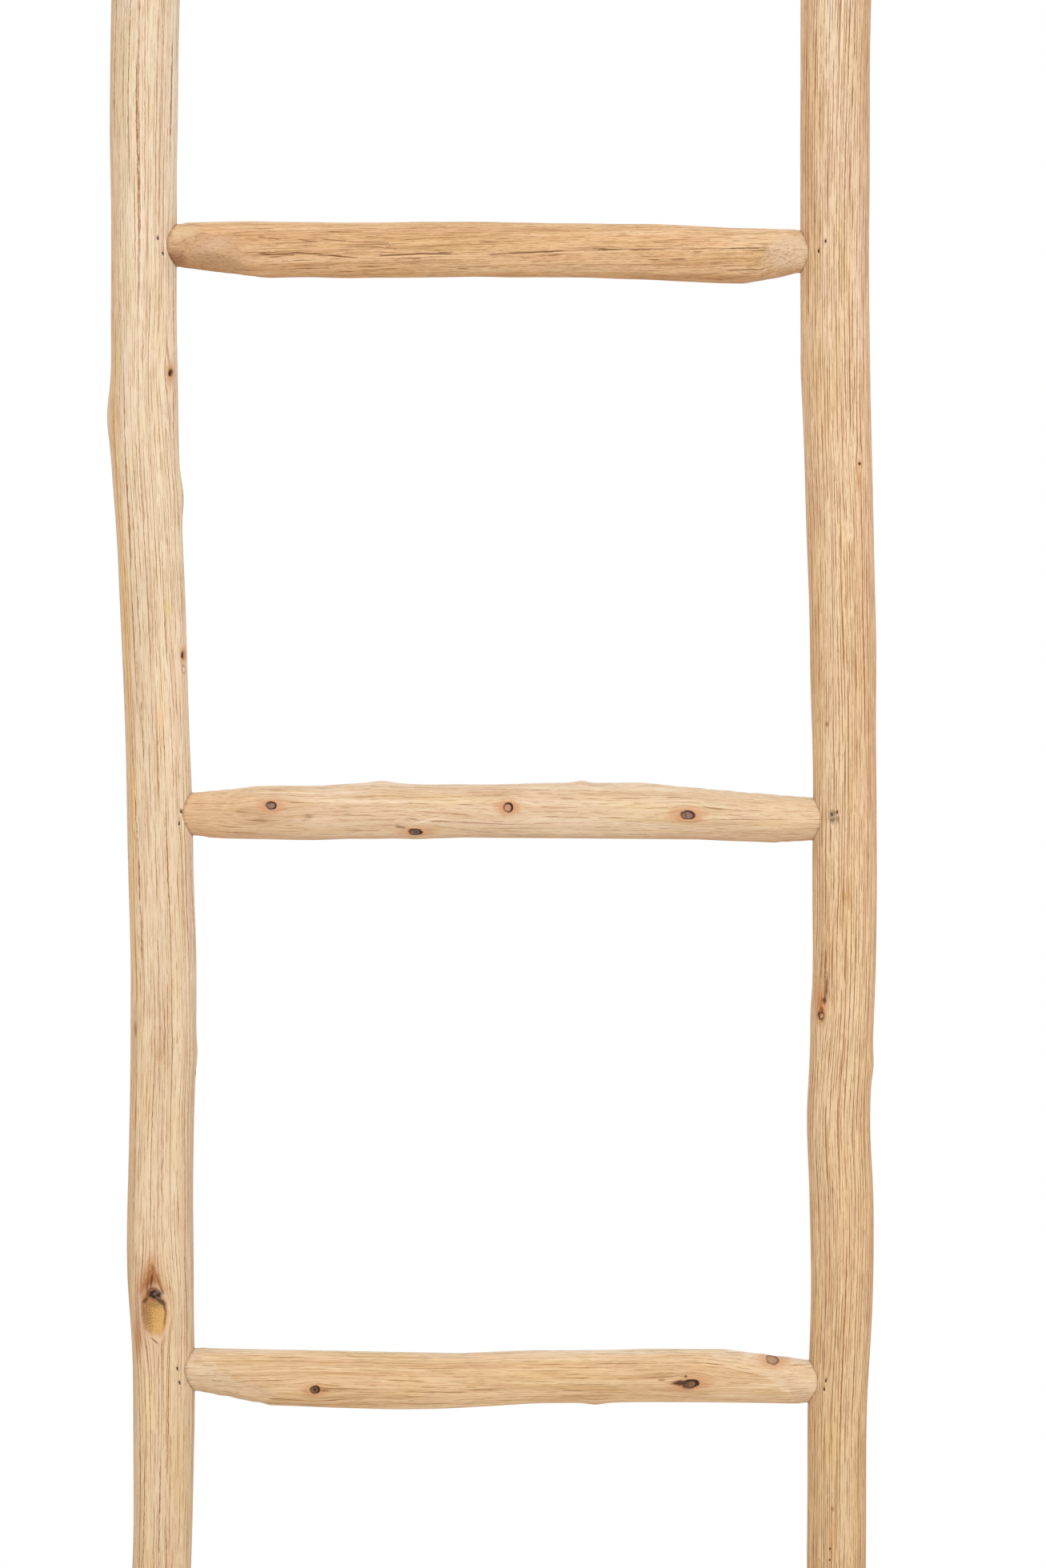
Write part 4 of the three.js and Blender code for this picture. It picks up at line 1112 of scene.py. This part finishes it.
def makeRail(rail):
    columns = railGrid["columns"]
    heights, centres = railRows(rail)
    height = np.repeat(heights[:, None], columns, 1)
    bearing = np.repeat(2 * math.pi * np.arange(columns)[None] / columns, len(heights), 0)
    sunk, pit = np.zeros(height.shape), np.zeros(height.shape)
    taken = np.zeros(height.shape, bool)
    mouths = list(zip(rail["joints"], centres))
    insides = [ringMouth(rail, joint, centre, height, bearing) for joint, centre in mouths]
    for row, column, *_ in insides:
        taken[row, column] = True
    for joint, centre in mouths:
        for brad in joint["brads"]:
            openHole(rail, joint, brad, centre, (height, bearing, sunk, pit, taken))
    points = railFace(rail, height, bearing)
    points[..., 1] += sunk
    for row, column, places, rimRow, rimColumn in insides:
        points[row, column] = places
        # Painted shade down the socket's wall and floor, and a little on its rim
        pit[row, column], pit[rimRow, rimColumn] = socketShadeAndRim["inside"], socketShadeAndRim["rim"]
    ends = [np.array([*railPath(rail, level)[:2], level]) for level in (heights[0], heights[-1])]
    plain = np.zeros(height.shape)
    fields = (height, bearing, plain, plain, pit, np.ones(points.shape))
    dress(rail, points, ends, railGrid["caps"], fields, 3, rail["finish"])


# The rungs from the bottom up. Each facet has its bearing and its length as a share of the taper's, and each
# brad its place along and up the tenon.
rungs = [
    {
        "slot": "straw_wood", "seed": 21, "twist": 0.001, "tilt": (0.2, -0.4),
        "bends": [(0, -0.2, 0, 0.6), (0.3, -0.7, 0.3, 0.9), (0.6, -0.5, 0.2, 0.6), (1, 0.1, -0.1, 0.3)],
        "knots": [(0.38, 120, 0.5, 0.6, 7, 6), (0.72, -30, 0.6, 0.7, 8, 6)],
        "left": {"round": 0.35, "facets": [(270, 0.6), (215, 0.7), (150, 0.55), (90, 0.4), (0, 0.7)],
                 "brads": [(0.4, 0.3), (0.32, -0.4)]},
        "right": {"round": 0.35, "facets": [(280, 0.5), (185, 0.6), (110, 0.75), (15, 0.6)],
                  "brads": [(0.42, 0.4), (0.36, -0.25)]},
        "knotsSeen": [
            unseen(0.58, 200, 7, 5),
        ],
        "tones": [(0, (1, 1, 1)), (1, (0.98, 0.97, 0.96))],
    },
    {
        "slot": "straw_wood", "seed": 22, "twist": 0.0008, "tilt": (0.55, -1),
        "bends": [(0, -0.6, 0, -0.25), (0.16, -1, 0.2, 0), (0.26, -1.1, 0.3, 0.05), (0.4, -0.9, 0.2, 0.05),
                  (0.53, -0.25, 0, -0.35), (0.6, 0, -0.1, -0.6), (0.76, 0.35, -0.2, -0.6),
                  (0.87, 0.55, -0.1, -0.35), (1, 0.5, 0, -0.5)],
        "knots": [(0.654, 270, 0.5, 0.35), (0.33, 0, 0.5, 0.6, 8, 6)],
        "left": {"round": 0.35, "facets": [(270, 0.34), (220, 0.5), (160, 0.6), (10, 0.5), (-45, 0.45)],
                 "brads": [(0.4, 0.05), (0.35, -0.6)]},
        "right": {"round": 0.35, "facets": [(90, 0.55), (135, 0.65), (205, 0.45), (270, 0.3), (0, 0.6)],
                  "brads": [(0.42, 0.05), (0.38, -0.35)]},
        "knotsSeen": [
            seen(393, 1737, 6, 3.5, heart=0.9, ring=1, halo=0.7, flow=1.8),
            seen(862.5, 1730, 9, 5.5, heart=0.2, ring=1, halo=0.7, flow=1.8, lean=-12),
            seen(965, 1700, 8, 4.8, heart=-0.45, ring=0.62, halo=0.8, flow=1.8),
        ],
        "cracks": [
            {"through": [(408, 1697), (440, 1697)], "width": 3.4, "dark": 0.45, "soft": 1},
            {"through": [(398, 1738), (412, 1739)], "width": 2.4, "dark": 0.6, "fade": 4},
        ],
        "patches": [
            spot(849, 1728.5, 10, 3.6, (70, 40, 22), 0.6, 0.95, lean=-6, pointed=0.5),
            spot(857, 1731, 4, 5, (84, 52, 34), 0.8, 0.6),
            spot(856.5, 1720.5, 1.7, 1.7, (90, 56, 34), 0.6, 0.8),
            spot(826, 1725, 4, 1.4, (150, 104, 66), 0.6, 0.7),
        ],
        "stains": [
            # Painted light: cooler and paler all along the top
            unseen(0.5, 98, 2600, 17, tint=(0.965, 1.035, 1.14)),
            seen(262, 1722, 70, 34, tint=(1.015, 1.05, 1.085)),
            seen(985, 1722, 62, 34, tint=(1.01, 1.03, 1.06)),
        ],
        "tones": [(0, (0.99, 0.99, 1)), (0.2, (1, 1, 1)), (0.8, (1, 1, 1)), (1, (1.01, 1.02, 1.03))],
    },
    {
        "slot": "beige_wood", "seed": 23, "twist": -0.0005, "tilt": (-0.25, -0.9),
        "bends": [(0, 0.3, 0, -0.7), (0.15, 0.28, -0.1, -0.3), (0.21, 0.27, -0.2, -0.05),
                  (0.27, 0.55, -0.3, 0.2), (0.4, 0.6, -0.3, -0.35), (0.5, 0.8, -0.2, -0.8),
                  (0.63, 0.95, 0, -0.1), (0.73, 1, 0.1, -0.35), (0.83, 0.6, 0.1, -0.6), (1, 0.1, 0, -0.8)],
        "knots": [(0.305, 90, 0.6, 0.45), (0.36, 240, 0.35, 0.5), (0.627, 90, 0.45, 0.25),
                  (0.8, 180, 0.3, 0.4)],
        "left": {"round": 0.5, "facets": [(105, 0.52)], "brads": [(0.28, -0.45), (0.24, 0.1)]},
        "right": {"round": 0.7, "facets": [(250, 0.5)], "brads": [(0.42, 0.2), (0.54, 0.3)]},
        "knotsSeen": [
            seen(338.6, 1007, 6.4, 4.6, heart=0, ring=1, halo=0.85, flow=2),
            seen(519, 1040, 8.5, 4, heart=0.6, ring=1, halo=0.7, flow=1.8),
            seen(635, 1009.5, 5.5, 5, heart=-0.7, ring=1, halo=0.95, flow=2),
            seen(859, 1019, 8.5, 5.5, heart=0.1, ring=0.9, halo=0.9, flow=1.8),
        ],
        "patches": [
            spot(325, 1025.5, 8, 3.2, (160, 128, 88), 0.9, 0.85, speckled=0.7, wander=1),
            spot(386, 1020, 6, 2.4, (152, 122, 82), 0.9, 0.85, speckled=0.6, wander=1),
            spot(435, 1018, 5, 1.6, (186, 156, 116), 0.7, 0.6),
            spot(500, 1033.5, 6, 2, (128, 84, 48), 0.8, 0.9, lean=12, speckled=0.5, wander=1),
            # A painted highlight along the ridge above the crack
            spot(532, 1026.5, 19, 1.2, (248, 226, 200), 0.8, 0.7, lean=-15),
        ],
        "cracks": [{"through": [(508, 1022), (545, 1031), (600, 1040), (660, 1044)], "width": 1.8, "dark": 0.45}],
        "stains": [
            # Painted light and shade: paler all along the top, darker underneath
            unseen(0.5, 98, 2600, 17, tint=(1, 1.05, 1.11)),
            unseen(0.5, 262, 2600, 17, tint=(0.945, 0.9, 0.87)),
            seen(985, 1028, 70, 24, tint=(1.03, 1.04, 1.05)),
        ],
        "tones": [(0, (1.0, 0.97, 0.93)), (0.15, (1, 1, 1)), (1, (1, 1.01, 1.01))],
    },
    {
        "slot": "honey_wood", "seed": 24, "twist": 0.0022, "tilt": (0.65, -0.15),
        "bends": [(0, -0.55, 0, 0.9), (0.25, -0.4, 0.3, 0.9), (0.5, -0.15, 0.3, 0.7), (0.675, -0.15, 0.1, 0.5),
                  (0.78, -0.3, 0, 0.95), (0.88, -0.6, 0, 0.95), (1, -0.7, 0, 0.95)],
        "knots": [(0.57, 20, 0.5, 0.6, 8, 6)],
        "left": {"round": 0.3, "facets": [(270, 0.62), (222, 0.6), (160, 0.5), (20, 0.55), (-40, 0.8)],
                 "brads": [(0.4, 0.3), (0.29, -0.4)],
                 "tones": {0: (0.97, 0.95, 0.93), 1: (0.98, 0.97, 0.96), 2: (1, 1, 1), 3: (1, 1, 1)}},
        "right": {"round": 0.25, "facets": [(262, 0.38), (195, 0.4), (145, 0.35), (0, 0.5), (-45, 0.6)],
                  "brads": [(0.5, 0.45), (0.36, 0)]},
        "patches": [
            spot(228, 290, 18, 10, (233, 200, 156), 0.5, 0.7),
            spot(258, 319, 46, 26, (214, 170, 130), 0.25, 0.8, wander=0.4),
            spot(254, 317, 50, 25, (158, 104, 62), 0.5, 0.55, flecked=True),
            spot(268, 306, 18, 7, (226, 190, 158), 0.8, 0.6, lean=-14, speckled=-0.6),
            spot(219, 324, 12, 11, (158, 102, 68), 0.6, 0.9, speckled=0.5),
            spot(990, 316, 32, 26, (230, 196, 160), 0.3, 0.55, wander=0.4),
            spot(976, 322, 40, 22, (166, 114, 72), 0.6, 0.6, flecked=True),
        ],
        "cracks": [
            {"through": [(322, 317.5), (352, 318), (372, 318.5)], "width": 4, "dark": 0.8, "soft": 1,
             "depth": 0.3},
            {"through": [(362, 316), (410, 319.5), (454, 323)], "width": 2.4, "dark": 0.95, "fade": 4,
             "depth": 0.3},
            {"through": [(472, 320), (520, 317.5), (620, 318), (721, 313), (840, 311.5), (962, 310)],
             "width": 2.6,
             "dark": 0.9, "depth": 0.3},
            {"through": [(403, 299), (440, 302), (489, 304.5)], "width": 1.8, "dark": 0.7, "fade": 4},
            {"through": [(430, 308.5), (470, 309.5), (498, 311)], "width": 2.2, "dark": 0.6, "soft": 0.6},
            {"through": [(322, 295.5), (349, 299.5)], "width": 1.8, "dark": 0.7, "fade": 4},
            {"through": [(330, 288), (348, 290)], "width": 2.2, "dark": 0.6, "fade": 3},
            {"through": [(372, 299), (398, 303)], "width": 1.8, "dark": 0.6, "fade": 4},
            {"through": [(221, 304), (238, 297), (255, 291.5), (274, 297), (299, 311)], "width": 1.8, "dark": 0.6,
             "soft": 1, "fade": 8},
        ],
        "stains": [
            # Painted light and shade: paler all along the top, darker underneath, more so towards the left end
            unseen(0.5, 98, 2600, 17, tint=(1, 1.03, 1.06)),
            unseen(0.5, 262, 2600, 17, tint=(0.93, 0.88, 0.81)),
            seen(250, 336, 66, 10, tint=(0.93, 0.92, 0.89)),
        ],
        "tones": [(0, (1, 1, 1)), (0.85, (1, 1, 1)), (1, (1.03, 1.06, 1.1))],
    },
    {
        "slot": "beige_wood", "seed": 25, "twist": -0.001, "tilt": (-0.4, 0.3),
        "bends": [(0, 0.2, 0, 0.1), (0.35, 0.7, 0.2, -0.1), (0.7, 0.3, 0.3, -0.4), (1, -0.2, 0, -0.5)],
        "knots": [(0.22, 160, 0.45, 0.5, 8, 6), (0.8, 100, 0.5, 0.5, 7, 5)],
        "left": {"round": 0.4, "facets": [(90, 0.7), (180, 0.6), (270, 0.45), (-20, 0.7)],
                 "brads": [(0.38, 0.4), (0.36, -0.3)]},
        "right": {"round": 0.4, "facets": [(245, 0.8), (150, 0.55), (60, 0.4), (-30, 0.6)],
                  "brads": [(0.4, 0.3), (0.44, -0.45)]},
        "tones": [(0, (1, 0.99, 0.98)), (1, (1, 1, 1))],
    },
]

rungFinishes = {
    "straw_wood": {
        "name": "straw peeled wood", "dark": (196, 154, 108), "mid": (229, 190, 144), "pale": (245, 218, 180),
        "broad": 0.7, "streak": 1.0, "fine": 1.0, "fibre": 0.4, "streakWidth": 4.5,
        "strands": [
            (25, 3, 0.2, 0.1, 2.8, 30, 0.04, 0.65, (138, 86, 40)),
            (47, 4, 0.4, 0.15, 1.6, 16, 0.01, 0.6, (160, 106, 54)),
            (88, 7, 0.7, 0.22, 1, 10, 0, 0.45, (164, 118, 74)),
        ],
        "hue": 0.6,
        "hewnDark": (196, 156, 114), "hewnMid": (225, 192, 152), "hewnPale": (243, 218, 184),
        "halo": (204, 144, 96), "core": (156, 112, 80), "heart": (58, 28, 8), "crackColor": (124, 80, 42),
        "roughness": 0.64,
    },
    "beige_wood": {
        "name": "beige peeled wood", "dark": (192, 151, 110), "mid": (226, 192, 155), "pale": (244, 219, 188),
        "broad": 0.7, "streak": 1.0, "fine": 0.9, "fibre": 0.4, "streakWidth": 4.5,
        "strands": [
            (22, 3, 0.2, 0.1, 3, 28, 0.03, 0.62, (148, 90, 44)),
            (43, 4, 0.4, 0.14, 1.8, 14, 0.01, 0.52, (168, 110, 60)),
            (86, 7, 0.8, 0.22, 1, 8, 0, 0.42, (182, 126, 76)),
        ],
        "hue": 0.7,
        "hewnDark": (198, 156, 116), "hewnMid": (227, 190, 150), "hewnPale": (244, 216, 182),
        "halo": (214, 154, 112), "core": (152, 114, 94), "heart": (58, 27, 9), "crackColor": (110, 72, 44),
        "roughness": 0.64,
    },
    "honey_wood": {
        "name": "honey peeled wood", "dark": (188, 140, 92), "mid": (229, 184, 136), "pale": (244, 208, 164),
        "broad": 0.6, "streak": 0.9, "fine": 1.1, "fibre": 0.5, "streakWidth": 4,
        "strands": [
            (31, 2, 0.3, 0.12, 1.7, 22, 0.06, 0.88, (128, 80, 36)),
            (52, 4, 0.5, 0.17, 1.2, 17, 0, 0.6, (148, 94, 44)),
            (92, 7, 0.8, 0.24, 0.9, 6, -0.01, 0.5, (146, 98, 56)),
        ],
        "hue": 0.5,
        "hewnDark": (178, 132, 92), "hewnMid": (215, 174, 132), "hewnPale": (233, 200, 164),
        "halo": (180, 124, 76), "core": (138, 92, 58), "heart": (58, 34, 16), "crackColor": (116, 72, 32),
        "roughness": 0.62,
    },
}


# Reach of a hewn end from the rung's straight axis, at a distance out of its mouth, with its facets' tones
def endReach(end, poleRadius, out, bearing):
    tenon = joints["tenon"]
    steepness = (poleRadius - tenon) / joints["taper"]
    reach = tenon + np.maximum(0, out - joints["shoulder"]) * steepness / end["round"]
    tone = np.ones(reach.shape + (3,))
    lots = np.random.default_rng(int(100 * end["round"]) + len(end["facets"]))
    for number, (facing, length) in enumerate(end["facets"]):
        lean = np.cos(bearing - math.radians(facing))
        facet = (tenon + out * steepness / length) / np.maximum(lean, rungShape["leastLean"])
        facet = np.where(lean > rungShape["leastLean"], facet, far)
        own = 1 + rungShape["facetTone"] * lots.uniform(-1, 1) * np.array(rungShape["facetHue"])
        tone[facet < reach] = np.array(end.get("tones", {}).get(number, own)) ** screenGamma
        reach = np.minimum(reach, facet)
    return np.maximum(reach, tenon), tone


# A rung's pole and what is left of it where its ends are hewn, as reaches from its straight axis
def rungReach(rung, along, bearing, marked=True):
    span = rung["length"]
    up, back, girth = rung["follow"](along / span)
    across = (back * np.sin(bearing) - up * np.cos(bearing)) * rungShape["sway"]
    towards = (back * np.cos(bearing) + up * np.sin(bearing)) * rungShape["sway"]
    oval = 1 + rungShape["ovality"] * np.cos(2 * (bearing - math.radians(rung["knots"][0][1])))
    radius = (rungShape["diameter"] + girth * rungShape["swell"]) / 2 * oval
    pole = towards + np.sqrt(radius**2 - across**2) + swollen(rung, rungShape, along, bearing)
    if marked:
        pole = pole + markRelief(rung, along, bearing)
    marks = rungShape["hewnMarks"]
    chips = marks["height"] * unevenness(rung["seed"] + 2, along, bearing, marks["lobes"], marks["pitch"])
    chips = chips * eased(np.minimum(along, span - along) / marks["clear"])
    left, leftTone = endReach(rung["left"], radius, along, bearing)
    right, rightTone = endReach(rung["right"], radius, span - along, bearing)
    return pole, np.minimum(left, right) + chips, np.where((along < span / 2)[..., None], leftTone, rightTone)


def makeRung(rung):
    left, right = rung["joints"]
    span, edgeCut, columns = rung["length"], rungShape["tenonEdge"], rungGrid["columns"]
    hewnRows = np.arange(rungGrid["firstRow"], joints["taper"] + rungGrid["pastTaper"], rungGrid["hewnStep"])
    middle = np.arange(hewnRows[-1], span - hewnRows[-1], rungGrid["step"])[1:]
    leftPlug, rightPlug = [
        [part for part in rungGrid["plugRows"] if part < joint["depth"] - edgeCut]
        + [joint["depth"] - edgeCut, joint["depth"] - 0.5, joint["depth"]] for joint in (left, right)]
    rows = np.concatenate([-np.array(leftPlug[::-1]), [0], hewnRows, middle, span - hewnRows[::-1],
                           [span], span + np.array(rightPlug)])
    along = np.repeat(rows[:, None], columns, 1)
    bearing = np.repeat(2 * math.pi * np.arange(columns)[None] / columns, len(rows), 0)
    pole, hewnTo, facetTone = rungReach(rung, along, bearing)
    tip = np.minimum(along + left["depth"], span + right["depth"] - along)
    plug = joints["tenon"] - np.maximum(0, edgeCut - tip)
    plugged = (along <= 0) | (along >= span)
    reach = np.where(plugged, plug, np.maximum(np.minimum(pole, hewnTo), joints["tenon"] - 0.05))
    depth = np.clip(pole - reach, 0, rungShape["hewnMarks"]["deepest"])
    hewn = eased(depth / rungShape["hewnMarks"]["blend"])
    points = np.stack([reach * np.cos(bearing), reach * np.sin(bearing), along], -1)
    # Painted shade: the wood darkens a little, and warms, where it meets the rails
    outs = [start + joint["radius"] - np.sqrt(np.maximum(joint["radius"]**2 - points[..., 0]**2, 0))
            for start, joint in ((along, left), (span - along, right))]
    contactShade = 1 - socketShadeAndRim["contactShade"] * eased(1 - np.minimum(*outs) / socketShadeAndRim["contactShadeReach"])
    toneAndShade = (1 + (facetTone - 1) * hewn[..., None]) * contactShade[..., None] ** np.array(socketShadeAndRim["contactShadeHue"])
    fields = (along, bearing, depth, hewn, np.zeros(along.shape), toneAndShade)
    ends = [np.array([0, 0, level]) for level in (rows[0], rows[-1])]
    dress(rung, points, ends, rungGrid["caps"], fields, 2, rungFinishes[rung["slot"]])


# Settles a stick's marks on it, the knots over its swellings among them
def layMarks(stick):
    shoots = [unseen(share, bearing, *size) for share, bearing, _, _, *size in stick["knots"] if size]
    stick["knotsSeen"] = stick.get("knotsSeen", []) + shoots
    for key in ("knotsSeen", "lumps", "stains", "patches"):
        stick[key] = settle(stick, stick.get(key, []))
    stick.setdefault("cracks", [])


# The bearing, of those that face the viewer, at which a stick shows a value
def bearingWhere(bearings, values, wanted):
    return float(bearings[np.argmin(np.abs(values - wanted))])


# Gives a rung its joints, its own frame and the places of its marks
def layOutRung(rung, number, left, right):
    height = ladder["lowestRung"] + number * ladder["rungPitch"]
    ends = [jointOn(rail, rung[side], height + tilt * joints["rungTilt"])
            for rail, side, tilt in zip((left, right), ("left", "right"), rung["tilt"])]
    line = ends[1]["mouth"] - ends[0]["mouth"]
    span = float(np.linalg.norm(line))
    along = line / span
    back = np.cross([0, 0, 1], along)
    back /= np.linalg.norm(back)
    for rail, end, inward in zip((left, right), ends, (-along, along)):
        end["inward"] = inward
        rail["joints"].append(end)
    rung.update({
        "node": f"rung_{number + 1}", "lying": True, "length": span, "radius": rungShape["diameter"] / 2,
        "front": math.pi, "arcSign": -1, "joints": ends, "bradPlaces": [],
        "basis": np.array([back, np.cross(along, back), along]), "follow": curveThrough(rung["bends"]),
    })

    def placeOf(pixelX, pixelY):
        x, z = photoPlace(pixelX, pixelY, rung["radius"] * photo["standsOut"])
        offset = np.array([x, 0, z]) - ends[0]["mouth"]
        place = float(offset @ along)
        bearings = np.radians(np.arange(92, 268, 0.5))
        pole, hewnTo, _ = rungReach(rung, np.full(bearings.shape, place), bearings, False)
        above = np.minimum(pole, hewnTo) * np.sin(bearings)
        return place, bearingWhere(bearings, above, offset @ rung["basis"][1])

    rung["placeOf"] = placeOf
    layMarks(rung)


def layOutRail(rail):
    rail.update({
        "lying": False, "length": ladder["height"], "radius": railShape["diameter"] / 2, "joints": [],
        "front": 1.5 * math.pi, "arcSign": 1, "bradPlaces": [], "follow": curveThrough(rail["bends"]),
    })

    def placeOf(pixelX, pixelY):
        x, z = photoPlace(pixelX, pixelY, rail["radius"] * photo["standsOut"])
        bearings = np.radians(np.arange(182, 358, 0.5))
        across = railPath(rail, z)[0] + railReach(rail, z, bearings, False) * np.cos(bearings)
        return float(z), bearingWhere(bearings, across, x)

    rail["placeOf"] = placeOf
    layMarks(rail)


# The brads stay as packed, in dark drawn steel with some rust
steel = {"scratches": (0.4, 0.12, 3, 0.6), "rust": (1.1, 1.1, 3, 0.65), "dark": (52, 46, 42),
         "pale": (104, 96, 88), "rustColor": (96, 62, 40), "roughness": (-0.1, 0.2, 0.38, 0.75), "metal": 0.8}


def finishBrads():
    material, shader = newMaterial("drawn steel")
    place = vector("MULTIPLY", newNode("TexCoord").outputs["Object"], (1 / mm, 1 / mm, 1 / mm))
    scratches, rust = noise(place, *steel["scratches"]), noise(place, *steel["rust"])
    color = ramp(scaled(scratches, 1.4, 0.5), [(0.2, paint(*steel["dark"])), (0.8, paint(*steel["pale"]))])
    color = blend(soften(rust, *edge["rust"]), color, paint(*steel["rustColor"]))
    wire(color, shader["Base Color"])
    wire(remap(rust, *steel["roughness"]), shader["Roughness"])
    shader["Metallic"].default_value = steel["metal"]
    for name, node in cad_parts.items():
        if name.startswith("brad_"):
            for slot in node.material_slots:
                slot.material = material


makeCamera()
makeSun("key light", studio["key"])
makeSun("back light", studio["back"])
makeWorld()
makeFloor()
print("studio set")

for rail in (leftRail, rightRail):
    layOutRail(rail)
for number, rung in enumerate(rungs):
    layOutRung(rung, number, leftRail, rightRail)
for rail in (leftRail, rightRail):
    makeRail(rail)
print("rails made")
for rung in rungs:
    makeRung(rung)
print("rungs made")
finishBrads()
print("brads finished")
